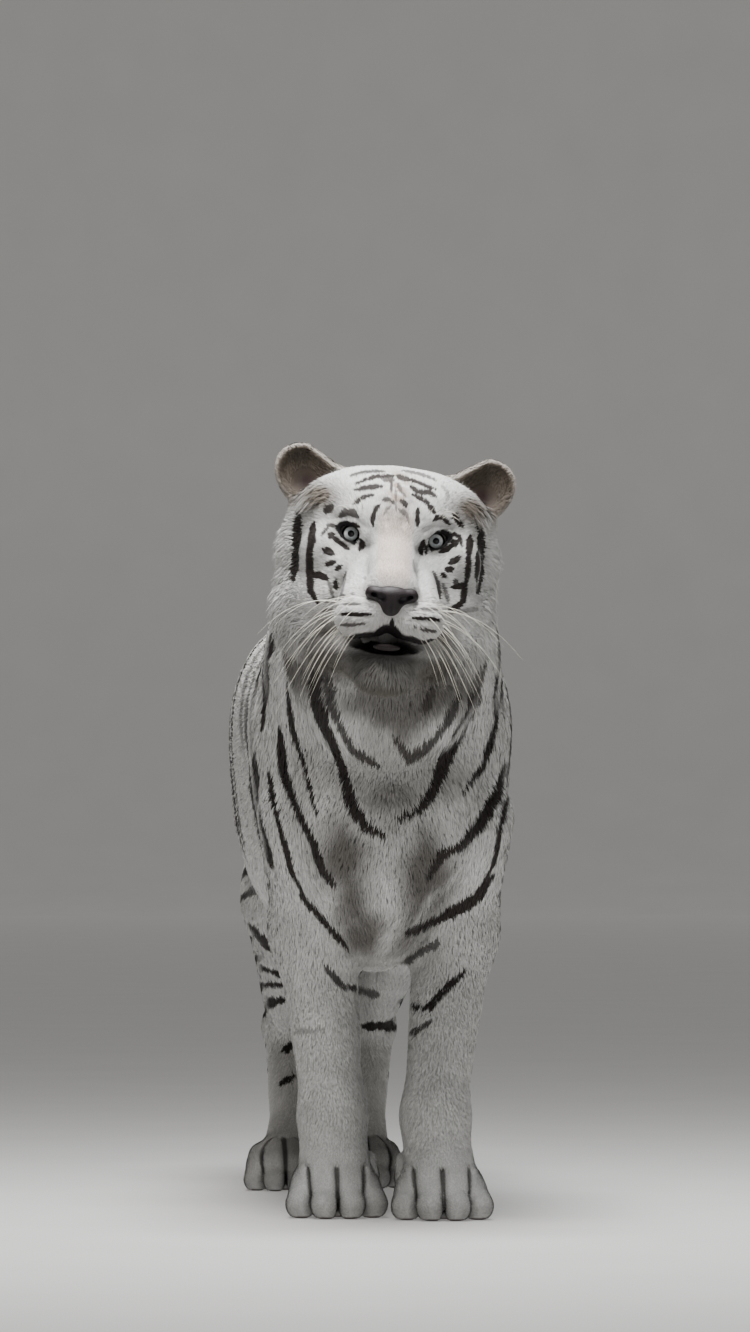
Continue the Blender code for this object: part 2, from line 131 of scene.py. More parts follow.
trunkForms = [
    ball((0, .03, .650), (body["chestHalfWidth"], .26, .270), blend=.05),
    ball(body["withers"], (.140, .22, .128), blend=.06),
    ball((0, .36, .645), (body["barrelHalfWidth"], .33, .258), blend=.05),
    ball((0, .60, .600), (.186, .30, .212), blend=.05),
    ball((0, .68, .745), (.145, .36, .148), blend=.06),
    ball((0, 1.00, .735), (body["hipHalfWidth"], .20, .160), blend=.05),
    bone((0, -.12, .52), (0, .14, .445), .085, .075, blend=.05),
    ball((0, -.15, .62), (.130, .10, .150), blend=.05),
    bone((.006, -.238, .620), (.006, -.190, .485), .027, .018, blend=.025),   # the breastbone
] + bothSides(lambda s: [
    ball((s * .118 + .004, .03, .70), (.080, .135, .185), (12, 0, 0), .04),
    ball((s * .098, .30, .760), (.108, .28, .145), blend=.05),
    ball((s * .088, .97, .655), (.078, .17, .200), (-8, 0, 0), .04),
])
neckForms = [
    bone((0, -.19, .905), (0, -.03, .76), .148, .178, blend=.05),
    ball((0, -.11, .850), (.166, .15, .145), blend=.05),
    ball((0, -.235, .80), (.125, .10, .120), blend=.04),
]


def toeForms(x, y, outer, inner, outerAhead, innerAhead, r, blend):
    four = ((-outer, outerAhead), (-inner, innerAhead), (inner, innerAhead), (outer, outerAhead))
    return [bone((x + out * .74, y + ahead + .058, .053), (x + out, y + ahead, r - .002), r + .001, r,
                 blend=blend) for out, ahead in four]


def frontLegForms(s, shoulder, elbow, wrist, paw):
    (ex, ey), (wx, wy), (x, y) = elbow, wrist, paw
    return [
        bone((shoulder, -.07, .60), (ex, ey, body["elbowHeight"]), .072, .064, blend=.04),
        ball((ex, ey - .015, .43), (.058, .080, .075), blend=.04),
        bone((ex, ey - .02, .42), (wx, wy, .165), .060, .046, (1, 1.12, 1), .03),
        ball((wx, wy - .006, body["wristHeight"]), (.046, .051, .060), blend=.03),
        bone((wx, wy, .14), (x, y + .006, .060), .047, .056, blend=.02),
        ball((x, y - .004, .040), (.067, .068, .041), blend=.02),
        bone((x - s * .052, y + .035, .085), (x - s * .058, y + .018, .062), .013, .010, blend=.01),
    ] + toeForms(x, y, .054, .0185, -.046, -.076, .0230, .007)


def hindLegForms(s, knee, hock, ankle, paw):
    (kx, ky), (hx, hy), (ax, ay), (x, y) = knee, hock, ankle, paw
    return [
        bone((s * .092, .96, .64), (kx, ky, body["kneeHeight"]), .115, .078, (.66, 1.05, 1), .05),
        bone((s * .080, 1.06, .60), (hx, hy - .03, .36), .100, .045, (.66, 1, 1), .05),
        bone((kx, ky + .01, .47), (hx, hy - .015, .275), .070, .040, (.85, 1.1, 1), .04),
        ball((hx, hy + .008, body["hockHeight"]), (.037, .046, .042), blend=.02),
        bone((hx, hy, .25), (ax, ay, .085), .036, .037, (1, 1.1, 1), .02),
        bone((ax, ay, .085), (x, y + .010, .050), .038, .042, blend=.02),
        ball((x, y - .008, .036), (.060, .072, .041), blend=.02),
    ] + toeForms(x, y, .046, .016, -.048, -.074, .0205, .006)


legPlaces = {   # the side, then where shoulder or knee, elbow or hock, wrist or ankle, and paw stand
    "frontRight": (-1, -.112, (-.092, .055), (-.068, .020), (-.066, -.010)),
    "frontLeft": (1, .128, (.114, .045), (.084, -.035), (.088, -.080)),
    "hindRight": (-1, (-.108, .78), (-.086, 1.03), (-.080, .93), (-.100, .875)),
    "hindLeft": (1, (.105, .82), (.055, 1.09), (.032, 1.00), (.038, .955)),
}
legs = {name: (frontLegForms if name.startswith("front") else hindLegForms)(*place)
        for name, place in legPlaces.items()}


def betweenToes(p, wide):   # 1 along the lines where two toes meet, fading to the sides and off the toes
    valley = np.zeros(len(p))
    for name, place in legPlaces.items():
        x, y = place[-1]
        near = np.nonzero((p[:, 2] < .10) & (np.hypot(p[:, 0] - x, p[:, 1] - y + .05) < .12))[0]
        if len(near):
            away = np.sort([distanceTo(toe, p[near]) for toe in legs[name][-4:]], axis=0)
            valley[near] = np.exp(-((away[1] - away[0]) / wide) ** 2) * ease(.019, .007, away[0])
    return valley


def hollows(p):   # the dips between the breastbone and the forelegs, in metres
    total = np.zeros(len(p))
    for s in sides.values():
        o = (p - np.array((s * .064 + .006, -.15, .500))) / np.array((.030, .13, .095))
        total += .017 * np.exp(-(o ** 2).sum(1))
    return total


tailKnots = [((0, 1.130, .810), .060), ((0, 1.215, .770), .050), ((0, 1.285, .680), .042),
             ((0, 1.325, .550), .039), ((-.008, 1.350, .420), .037), ((-.018, 1.375, .310), .036),
             ((-.030, 1.420, .215), .035), ((-.042, 1.490, .160), .034), ((-.050, 1.560, .155), .031),
             ((-.050, 1.615, .190), .022)]
knots = [np.array((*at, r)) for at, r in tailKnots]
tailLine = []   # a smooth line through the knots
for a, b, c, d in zip(knots[:1] + knots, knots, knots[1:], knots[2:] + knots[-1:]):
    for t in (0, .5):
        at = b + .5 * t * (c - a + t * (2 * a - 5 * b + 4 * c - d + t * (3 * (b - c) + d - a)))
        tailLine.append((tuple(at[:3]), at[3]))
tailLine.append(tailKnots[-1])
tailForms = [bone(a, b, ra, rb, blend=.012) for (a, ra), (b, rb) in zip(tailLine, tailLine[1:])]


# the head, in a frame of its own between the eyes: x to the animal's left, y to the back, z up
headPlace = {"at": np.array((-.0023, -.400, 1.010)), "turn": turnOf((-1, 5, -1))}
eyeSize = {"radius": .0190, "out": .0625, "back": .0205, "slant": 26, "lid": .0045, "opening": (.0165, .0098)}


def toHead(p):
    return (p - headPlace["at"]) @ headPlace["turn"]


def fromHead(q):
    return np.asarray(q) @ headPlace["turn"].T + headPlace["at"]


def fromEye(q, s, back=eyeSize["back"]):
    return q - np.array((s * eyeSize["out"], back, 0))


ruffForms = [ball((0, .150, -.010), (.125, .095, .108), blend=.04)] + bothSides(lambda s: [
    ball((s * .112, .125, -.018), (.052, .056, .078), blend=.022),
    ball((s * .108, .122, -.102), (.056, .060, .070), blend=.022),
])
skullForms = [
    ball((0, .095, .024), (.108, .120, .086), blend=.03),
    ball((0, .032, .008), (.076, .060, .056), blend=.03),
    bone((0, -.008, -.016), (0, -.092, -.076), .033, .030, (1.12, 1, 1), .022),
    ball((0, -.088, -.096), (.042, .038, .042), blend=.015),
    ball((0, .090, -.130), (.095, .095, .075), blend=.03),
] + bothSides(lambda s: [
    ball((s * .058, .088, .044), (.054, .085, .056), blend=.025),
    ball((s * .046, .018, .025), (.034, .031, .022), (0, s * 12, 0), .016),
    ball((s * .096, .092, .034), (.044, .056, .048), blend=.030),
    ball((s * .088, .062, -.030), (.046, .068, .052), blend=.022),
    ball((s * .060, .020, -.056), (.038, .046, .034), blend=.018),
    bone((s * .034, -.006, -.048), (s * .044, -.052, -.104), .029, .035, blend=.016),
    ball((s * .076, .034, -.098), (.044, .056, .050), blend=.018),
    ball((s * .090, .085, -.098), (.050, .074, .058), blend=.026),
    ball((s * .038, -.080, -.124), (.042, .044, .033), (0, 0, s * 14), .012),
])
jawForms = [ball((0, -.054, -.200), (.040, .037, .031), blend=.015)] + bothSides(lambda s: [
    bone((s * .014, -.042, -.192), (s * .066, .070, -.146), .027, .046, blend=.022),
])
mouthForms = [ball((0, -.088, -.160), (.049, .050, .0125), blend=.005),
              bone((0, -.130, -.128), (0, -.106, -.160), .0030, .0220, blend=.005)]
lipForms = [bone((0, -.130, -.108), (0, -.126, -.130), .0024, .0030, blend=.003)]   # the upper lip's cleft
noseForms = [
    ball((0, -.116, -.092), (.028, .017, .016), blend=.008),
    ball((0, -.118, -.107), (.014, .014, .014), blend=.008),
] + bothSides(lambda s: [ball((s * .0255, -.111, -.089), (.0135, .013, .011), blend=.006)])
nostrilForms = bothSides(lambda s: [
    ball((s * .0185, -.131, -.097), (.009, .009, .0065), blend=.003),
    bone((s * .020, -.128, -.096), (s * .035, -.112, -.086), .0038, .0024, blend=.003),
]) + [bone((0, -.135, -.100), (0, -.130, -.116), .0016, .0016, blend=.002)]


def earForms(s):
    return [bone((s * .112, .118, .050), (s * .128, .122, .076), .034, .036, (1, .62, 1), .018),
            bone((s * .139, .124, .095), (s * .090, .116, .084), .0400, .0230, (1, .56, 1), .010)]


def earCup(s):
    return [bone((s * .139, .099, .093), (s * .096, .093, .086), .0375, .0200, (1, .84, 1), .004)]


# how deep the skin lies under the tips of the coat, in metres
coatDepth = {"face": .0020, "crown": .004, "ruff": .0085, "chin": .004, "ear": .0012, "neck": .0065,
             "trunk": .0055, "belly": .010, "upperLeg": .005, "lowerLeg": .0025, "paw": .0015, "tail": .005}


def headDepth(q):
    y, z, face = q[:, 1], q[:, 2], coatDepth["face"]
    ruff = ease(.015, .110, y + .45 * np.maximum(-z - .06, 0)) * (1 - ease(.035, .075, z))
    crown = ease(.02, .08, y) * ease(.035, .075, z)
    d = face + ruff * (coatDepth["ruff"] - face)
    d = d + crown * (coatDepth["crown"] - face)
    return np.maximum(d, ease(-.165, -.195, z) * coatDepth["chin"])


def legDepth(p):
    low = coatDepth["paw"] + ease(.09, .20, p[:, 2]) * (coatDepth["lowerLeg"] - coatDepth["paw"])
    high = ease(.25, .50, p[:, 2]) * (coatDepth["upperLeg"] - coatDepth["lowerLeg"])
    return (low + high) * ease(.002, .020, p[:, 2])


def trunkDepth(p):
    under = ease(.56, .46, p[:, 2]) * ease(-.1, .2, p[:, 1])
    return coatDepth["trunk"] + under * (coatDepth["belly"] - coatDepth["trunk"])


# folds of the skin: a line seen from ahead (x, z), its depth and its half width
folds = [
    ([(.037, -.020), (.062, -.058), (.080, -.112)], .0036, .0080),     # beside the muzzle
    ([(.012, .018), (.019, .046)], .0024, .0060),                      # between the brows
    ([(.040, .008), (.060, .021), (.082, .020)], .0018, .0040),        # over the upper lid
    ([(.030, -.098), (.072, -.096)], .0011, .0022),                    # the rows of whiskers
    ([(.026, -.111), (.078, -.110)], .0012, .0022),
    ([(.028, -.124), (.078, -.124)], .0011, .0022),
]


def foldDepth(q):
    total = np.zeros(len(q))
    x, y, z = q.T
    near = np.nonzero((y < .05) & (z > -.15) & (z < .07) & (np.abs(x) < .11))[0]
    x, z = np.abs(x[near]), z[near]
    for line, depth, width in folds:
        away = np.full(len(near), 1.0)
        for (x0, z0), (x1, z1) in zip(line, line[1:]):
            dx, dz = x1 - x0, z1 - z0
            t = np.clip(((x - x0) * dx + (z - z0) * dz) / (dx ** 2 + dz ** 2), 0, 1)
            away = np.minimum(away, np.hypot(x - x0 - t * dx, z - z0 - t * dz))
        total[near] += depth * np.exp(-(away / width) ** 2)
    return total


def almond(q, s):   # how far a point is from the edge of the eye's opening, seen from ahead
    o = fromEye(q, s)
    t = math.radians(s * eyeSize["slant"])
    u = o[:, 0] * math.cos(t) + o[:, 2] * math.sin(t)
    w = -o[:, 0] * math.sin(t) + o[:, 2] * math.cos(t)
    wide, high = eyeSize["opening"]
    return (np.sqrt((u / wide) ** 2 + (w / high) ** 2) - 1) * high, o


def headField(p, sunk):
    q = toHead(p)
    f = grow(ruffForms + skullForms, q)
    f = softMin(f, grow(jawForms, q), .020) + sunk * (headDepth(q) + foldDepth(q))
    for s in sides.values():
        f = softMin(f, grow(earForms(s), q) + sunk * coatDepth["ear"], .014)
        f = carve(f, earCup(s), q)
    f = carve(f, mouthForms + lipForms, q)
    for s in sides.values():
        edge, o = almond(q, s)
        lid = lengthOf(o) - eyeSize["radius"] - eyeSize["lid"] + sunk * .0012
        f = softMin(f, lid, .012)
        f = -softMin(-f, np.maximum(edge, o[:, 1] + .002), .0025)
    return f


def bodyField(p, sunk=1.0):   # the skin's surface is where this is nought, or the coat's with sunk = 0
    f = grow(trunkForms, p) + sunk * trunkDepth(p)
    f = grow(neckForms, p, f - sunk * coatDepth["neck"]) + sunk * coatDepth["neck"]
    f = softMin(f, headField(p, sunk), .035)
    whole = f
    for forms in legs.values():
        whole = np.minimum(whole, softMin(f, grow(forms, p) + sunk * legDepth(p), .030))
    tail = grow(tailForms, p) + sunk * coatDepth["tail"]
    whole = np.minimum(whole, softMin(f, tail, .025))
    return np.maximum(whole + .0075 * betweenToes(p, .0060) + hollows(p), -p[:, 2])


# making a surface from distances
def cornerOf(values, d):   # the values at one of the eight corners of every cell
    return values[tuple(slice(k, k + n - 1) for k, n in zip(d, values.shape))]


def surfaceOf(field, low, high, step, coarse=8):   # points and four-sided faces where the field is nought
    low = np.array(low, float)
    count = (np.ceil((np.array(high) - low) / step / coarse).astype(int)) * coarse + 1
    f = np.full(count, .2, np.float32)
    blocks = (count - 1) // coarse + 1
    corners = np.stack(np.meshgrid(*[np.arange(c) for c in blocks], indexing="ij"), -1).reshape(-1, 3)
    rough = field(low + corners * coarse * step).reshape(blocks)
    eight = [(a, b, c) for a in (0, 1) for b in (0, 1) for c in (0, 1)]
    active = np.any([np.abs(cornerOf(rough, d)) < coarse * step * 1.9 for d in eight], axis=0)
    for a, b, c in np.argwhere((rough[:-1, :-1, :-1] < 0) & ~active) * coarse:
        f[a:a + coarse + 1, b:b + coarse + 1, c:c + coarse + 1] = -.2
    local = np.stack(np.meshgrid(*[np.arange(coarse + 1)] * 3, indexing="ij"), -1).reshape(-1, 3)
    active = np.argwhere(active) * coarse
    for k in range(0, len(active), 4000):
        index = (active[k:k + 4000, None, :] + local[None]).reshape(-1, 3)
        flat = np.unique(np.ravel_multi_index(index.T, count))
        f.reshape(-1)[flat] = field(low + np.stack(np.unravel_index(flat, count), -1) * step)
    inside = f < 0
    held = sum(cornerOf(inside, d).astype(np.int8) for d in eight)
    cells = np.argwhere((held > 0) & (held < 8))
    number = np.full(count - 1, -1, np.int32)
    number[tuple(cells.T)] = np.arange(len(cells))
    along = np.eye(3, dtype=int)
    total, crossings, faces = np.zeros((len(cells), 3)), np.zeros(len(cells)), []
    for axis in range(3):
        one, two = (along[k] for k in range(3) if k != axis)
        for corner in (0 * one, two, one, one + two):
            a = cells + corner
            fa, fb = f[tuple(a.T)], f[tuple((a + along[axis]).T)]
            crossed = (fa < 0) != (fb < 0)
            share = np.where(crossed, fa / np.where(crossed, fa - fb, 1), 0)
            total[crossed] += (a + np.outer(share, along[axis]))[crossed]
            crossings[crossed] += 1
    for axis in range(3):
        others = [(axis + 1) % 3, (axis + 2) % 3]
        one, two = along[others]
        edge = np.argwhere(np.diff(inside, axis=axis))
        edge = edge[((edge[:, others] > 0) & (edge[:, others] < count[others] - 1)).all(1)]
        ring = np.stack([number[tuple((edge - corner).T)] for corner in (one + two, two, 0 * one, one)], -1)
        turned = ~inside[tuple(edge.T)]
        ring[turned] = ring[turned][:, ::-1]
        faces.append(ring)
    return low + total / crossings[:, None] * step, np.concatenate(faces)


def slopeOf(field, p, h=.0008):
    slope = np.zeros_like(p)
    for axis in range(3):
        d = np.zeros(3)
        d[axis] = h
        slope[:, axis] = (field(p + d) - field(p - d)) / (2 * h)
    return slope


def settle(field, p, rounds=2, limit=.003):   # moves points onto the surface
    for _ in range(rounds):
        g = slopeOf(field, p)
        step = (field(p) / np.maximum((g ** 2).sum(1), .25))[:, None] * g
        p = p - step * np.minimum(1, limit / np.maximum(lengthOf(step), 1e-9))[:, None]
    return p


def addObject(name, data):
    made = bpy.data.objects.new(name, data)
    bpy.context.scene.collection.objects.link(made)
    return made


def meshOf(name, work):   # a smooth mesh from what was modelled
    mesh = bpy.data.meshes.new(name)
    work.to_mesh(mesh)
    work.free()
    mesh.shade_smooth()
    return mesh


def meshFrom(name, points, faces):   # a new object from arrays of points and of faces with equal sides
    mesh = bpy.data.meshes.new(name)
    sidesOfFace = faces.shape[1]
    mesh.vertices.add(len(points))
    mesh.vertices.foreach_set("co", np.ascontiguousarray(points, np.float32).ravel())
    mesh.loops.add(faces.size)
    mesh.loops.foreach_set("vertex_index", np.ascontiguousarray(faces, np.int32).ravel())
    mesh.polygons.add(len(faces))
    mesh.polygons.foreach_set("loop_start", np.arange(len(faces), dtype=np.int32) * sidesOfFace)
    mesh.update(calc_edges=True)
    mesh.shade_smooth()
    return addObject(name, mesh)


def vectorsOf(mesh, kind="co"):
    read = np.zeros(len(mesh.vertices) * 3, np.float32)
    mesh.vertices.foreach_get(kind, read)
    return read.reshape(-1, 3).astype(float)


def paint(mesh, name, colours):   # one colour for each point, kept as an attribute
    layer = mesh.color_attributes.new(name, "FLOAT_COLOR", "POINT")
    full = np.column_stack([colours, np.ones(len(colours))])
    layer.data.foreach_set("color", full.astype(np.float32).ravel())


# the model's own frame stands at the front feet; the CAD frame is the same, moved along the floor
eyeLow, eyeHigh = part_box("eye_left")
shift = np.array((eyeLow + eyeHigh) / 2) - fromHead((eyeSize["out"], eyeSize["back"], 0))
shift[2] = 0


# the skin
skinSize = {"grain": .0050, "bodyKept": .25, "faceFront": .075, "passage": .014}


def makeSkin():
    points, faces = surfaceOf(bodyField, (-.26, -.58, -.02), (.26, 1.68, 1.20), skinSize["grain"])
    skin = meshFrom("skin", points, faces)
    x, y, z = toHead(points).T
    fine = (y < skinSize["faceFront"]) & (np.abs(x) < .16) & (z > -.25)   # the face, the ears and the paws
    fine |= (z > .045) & (np.abs(x) > .085) & (y < .18)
    fine |= points[:, 2] < .10
    coarse = skin.vertex_groups.new(name="coarse")
    coarse.add(np.nonzero(~fine)[0].tolist(), 1, "REPLACE")
    thin = skin.modifiers.new("thin", "DECIMATE")
    thin.ratio = 1 - (1 - skinSize["bodyKept"]) * float((~fine).mean())
    thin.vertex_group = "coarse"
    graph = bpy.context.evaluated_depsgraph_get()
    mesh = bpy.data.meshes.new_from_object(skin.evaluated_get(graph))
    skin.modifiers.clear()
    skin.data = mesh
    work = bmesh.new()
    work.from_mesh(mesh)
    for wide in (True, False):   # the face and between the toes once more, then round the eyes again
        work.verts.ensure_lookup_table()
        q = toHead(np.array([v.co for v in work.verts]))
        x, y, z = q.T
        if wide:
            near = (y < .060) & (np.abs(x) < .13) & (z > -.24) & (z < .10)
            near |= betweenToes(fromHead(q), .012) > .04
        else:
            near = np.min([lengthOf(fromEye(q, s, eyeSize["back"] - .015)) for s in (1, -1)], axis=0) < .026
        edges = [e for e in work.edges if near[e.verts[0].index] and near[e.verts[1].index]]
        bmesh.ops.subdivide_edges(work, edges=edges, cuts=1, use_grid_fill=True, use_single_edge=True)
        work.verts.index_update()
    bmesh.ops.triangulate(work, faces=work.faces)
    work.to_mesh(mesh)
    work.free()
    settled = settle(bodyField, vectorsOf(mesh))
    mesh.vertices.foreach_set("co", settled.astype(np.float32).ravel())
    mesh.update()
    mesh.shade_smooth()
    return skin


skin = makeSkin()
print("skin grown:", len(skin.data.vertices), "points,", len(skin.data.polygons), "faces")


# which part of the animal a point belongs to, as weights that add up to one
partNames = ["head", "ear", "neck", "trunk", "frontRight", "frontLeft", "hindRight", "hindLeft", "tail"]


def partWeights(p):
    q = toHead(p)
    ears = np.minimum(grow(earForms(-1), q), grow(earForms(1), q)) - .004
    away = np.stack([np.minimum(grow(ruffForms + skullForms, q), grow(jawForms, q)), ears,
                     *(grow(forms, p) for forms in (neckForms, trunkForms, *legs.values(), tailForms))], 1)
    w = np.exp(-(away - away.min(1, keepdims=True)) / skinSize["passage"])
    return w / w.sum(1, keepdims=True)


def wave(p, scale, seed=0):   # a smooth field of about -1 to 1 that repeats nowhere near
    a = p @ np.array((1.0, .62, .37)) * scale + seed
    b = p @ np.array((-.43, 1.1, .71)) * scale * 1.31 + seed * 1.7
    c = p @ np.array((.57, -.39, 1.2)) * scale * 1.73 + seed * 2.3
    return (np.sin(a + 1.3 * np.sin(b)) + np.sin(b + 1.1 * np.sin(c)) + np.sin(c + .9 * np.sin(a))) / 3


def fringeAt(q):   # the pale fringe in front of the ears
    x, y, z = q.T
    return np.exp(-((np.abs(x) - .114) / .030) ** 2 - ((z - .054) / .022) ** 2) * ease(.125, .105, y)


def deepInEar(q):   # 1 in the dark middle of the ears
    return np.exp(-((np.abs(q[:, 0]) - .130) / .020) ** 2 - ((q[:, 2] - .078) / .017) ** 2)


# the lie of the coat
def lieOf(p, n, w):
    q, y, z = toHead(p), p[:, 1], p[:, 2]
    turn, side = headPlace["turn"], np.sign(q[:, :1])
    fromNose = unit(q - np.array((0, -.135, -.088)))
    ruff = ease(.03, .13, q[:, 1])[:, None] * (1 - ease(.03, .07, q[:, 2]))[:, None]
    head = fromNose + ruff * np.array((0, .1, -.9))
    for s in sides.values():
        o = fromEye(q, s, -.002)
        head = mix(head, unit(o * (1, .3, 1)), np.exp(-(lengthOf(o) / .020) ** 2))
    head = mix(unit(head), side * (1, 0, 0) + (0, -.25, -.25), fringeAt(q))
    head = unit(head) @ turn.T
    cupped = (q[:, 1] < .122)[:, None]
    ear = np.where(cupped, side * (.9, 0, 0) + (0, -.35, .55), side * (.35, 0, 0) + (0, .1, 1)) @ turn.T
    out = np.tanh((p[:, :1] - .006) / .03) * (1, 0, 0)
    front = ease(.10, -.14, y) * ease(.86, .70, z)
    neck = mix((0, .75, -.55), out * .25 + (0, .05, -1), front)
    trunk = mix((0, 1, -.12), (0, .8, -.75), ease(.80, .50, z))
    trunk = mix(trunk, out * .30 + (0, .10, -1), front)
    foot, footWay = ease(.105, .060, z), (0, -1, -.35)
    fore = mix((0, .16, -1), footWay, foot)
    hind = mix(mix((0, .25, -1), (0, .75, -.75), ease(.40, .60, z)), footWay, foot)
    tail = np.zeros_like(p)
    line = np.array([at for at, r in tailLine])
    for a, b in zip(line, line[1:]):
        tail = tail + unit(b - a) * np.exp(-lengthOf(p - (a + b) / 2) / .03)[:, None]
    ways = [head, ear, neck, trunk, fore, fore, hind, hind, unit(tail)]
    way = sum(unit(v) * w[:, k:k + 1] for k, v in enumerate(ways))
    return unit(way - n * (way * n).sum(1, keepdims=True))


# the markings: strokes in millimetres, each (points, width, darkness)
# those of the front are laid out as they are seen from ahead at twelve metres, u to the left and v up
frontView = {"azimuth": -3.5, "distance": 12.0, "aside": .005, "height": .6, "tilt": 1.096, "lens": 214.7,
             "sensor": 36.0}

faceStrokes = [
    # crown and forehead
    ([(-38, 1117), (-21, 1122), (-5, 1124), (15, 1124)], 3.0, 0.9),
    ([(41, 1125), (60, 1122), (80, 1116), (92, 1110)], 3.0, 0.8),
    ([(-29, 1105), (-14, 1111), (0, 1116), (15, 1117), (29, 1117)], 4.4, 1),
    ([(12, 1114), (27, 1111)], 8.3, 0.85), ([(33, 1117), (44, 1113), (54, 1111)], 6.6, 0.95),
    ([(51, 1113), (68, 1106), (82, 1100), (92, 1097)], 4.2, 1),
    ([(-29, 1095), (-20, 1098), (-8, 1100), (11, 1102)], 6.3, 1),
    ([(54, 1101), (65, 1094), (74, 1092), (83, 1092), (91, 1085)], 6.6, 1),
    ([(-32, 1074), (-23, 1082), (-14, 1086), (-2, 1088)], 5.4, 1),
    ([(57, 1089), (69, 1083), (79, 1076), (86, 1067), (92, 1058)], 5.4, 1),
    ([(25, 1111), (25, 1094)], 2.7, 0.9), ([(31, 1098), (32, 1064)], 1.8, 0.6),
    ([(35, 1105), (39, 1094)], 4.8, 0.75), ([(39, 1095), (47, 1085)], 2.4, 0.7),
    ([(12, 1081), (23, 1082)], 5.7, 0.9), ([(24, 1079), (29, 1076)], 4.2, 0.9),
    ([(39, 1080), (45, 1076), (47, 1070)], 6.6, 0.95), ([(24, 1071), (18, 1067), (14, 1058)], 2.4, 0.6),
    ([(36, 1067), (44, 1058)], 2.7, 0.7), ([(41, 1067), (48, 1059), (51, 1046)], 2.7, 0.6),
    ([(8, 1074), (1, 1068), (-2, 1059), (-4, 1050), (-3, 1041)], 5.1, 1),
    ([(65, 1068), (64, 1056), (65, 1040)], 4.8, 1), ([(101, 1102), (109, 1092), (110, 1080)], 3.6, 0.45),
    # brows
    ([(-65, 1071), (-74, 1062)], 10.9, 0.95),
    ([(-53, 1056), (-44, 1062), (-35, 1062), (-27, 1055)], 10.6, 0.9),
    ([(89, 1049), (95, 1055), (104, 1052), (113, 1043)], 5.4, 1),
    ([(118, 1059), (125, 1049), (131, 1041)], 7.5, 1),
    # round the right eye
    ([(-57, 1040), (-45, 1041), (-35, 1044), (-24, 1040)], 5.4, 1),
    ([(-57, 1041), (-69, 1043), (-80, 1027)], 3.9, 0.9), ([(-69, 1029), (-62, 1024)], 10.6, 1),
    ([(-63, 1024), (-51, 1015), (-39, 1006)], 6, 1), ([(-21, 1020), (-19, 1012), (-23, 1005)], 7.0, 1),
    # right cheek
    ([(-113, 1064), (-118, 1047), (-119, 1020), (-121, 990), (-125, 960)], 12.1, 1),
    ([(-92, 1046), (-97, 1020), (-99, 990), (-98, 966), (-97, 944), (-86, 925)], 9.8, 1),
    ([(-94, 1043), (-95, 1012)], 9.8, 1), ([(-97, 967), (-83, 967), (-71, 961)], 9.1, 1),
    ([(-77, 1006), (-63, 999)], 9.7, 1), ([(-74, 982), (-60, 987)], 7.2, 1),
    ([(-59, 975), (-51, 981)], 6.6, 1), ([(-59, 961), (-59, 946)], 6, 1),
    ([(-44, 972), (-47, 957), (-50, 941), (-54, 929)], 3, 0.75),
    ([(-71, 961), (-66, 947), (-62, 926)], 3.6, 0.7), ([(-79, 929), (-60, 928)], 5.1, 0.7),
    ([(-80, 913), (-66, 913)], 4.8, 0.7),
    # round the left eye
    ([(94, 1031), (107, 1024), (121, 1029), (128, 1024), (131, 1011)], 4.5, 1),
    ([(116, 1012), (124, 1018)], 10.6, 1), ([(98, 1002), (109, 1006), (119, 1014)], 6.3, 1),
    ([(74, 1018), (69, 1006), (71, 999)], 6.6, 1), ([(78, 1011), (77, 999)], 4.5, 1),
    # left cheek
    ([(144, 1026), (142, 1008), (141, 990), (140, 972), (137, 953)], 7.5, 1),
    ([(144, 1023), (142, 1005)], 9.8, 1),
    ([(154, 1043), (160, 1031), (162, 1011), (159, 990), (159, 967), (156, 941)], 9.8, 1),
    ([(159, 1005), (157, 953)], 12.8, 1),
    ([(137, 955), (134, 941), (133, 928), (124, 919), (112, 916)], 8.2, 1),
    ([(116, 949), (128, 950), (137, 953)], 7.2, 1), ([(121, 960), (121, 953)], 6.6, 0.9),
    ([(112, 985), (122, 990), (127, 994)], 8.2, 1), ([(107, 976), (118, 976)], 8.8, 1),
    ([(101, 969), (107, 964)], 6.6, 1), ([(88, 973), (94, 960), (98, 943), (98, 931)], 3.6, 0.85),
    ([(103, 953), (107, 940), (110, 926)], 5.4, 0.75), ([(107, 910), (156, 916)], 6, 0.5),
    # rows of whisker roots
    ([(-48, 923), (-36, 924), (-23, 923)], 3.3, 0.65), ([(-51, 908), (-35, 908), (-6, 908)], 4.5, 1),
    ([(-53, 892), (-35, 892), (-14, 894)], 3.6, 0.85), ([(-48, 934), (-47, 938)], 3.9, 0.7),
    ([(-36, 939), (-32, 940)], 3.9, 0.6), ([(69, 917), (83, 916), (95, 916)], 3, 0.75),
    ([(57, 902), (76, 902), (98, 899)], 4.5, 1), ([(59, 890), (62, 889)], 4.5, 0.7),
    ([(68, 886), (80, 883), (92, 882)], 3.6, 0.9), ([(-17, 963), (-14, 963)], 4.5, 0.5),
    ([(59, 990), (59, 979), (62, 969)], 2.3, 0.45),
]
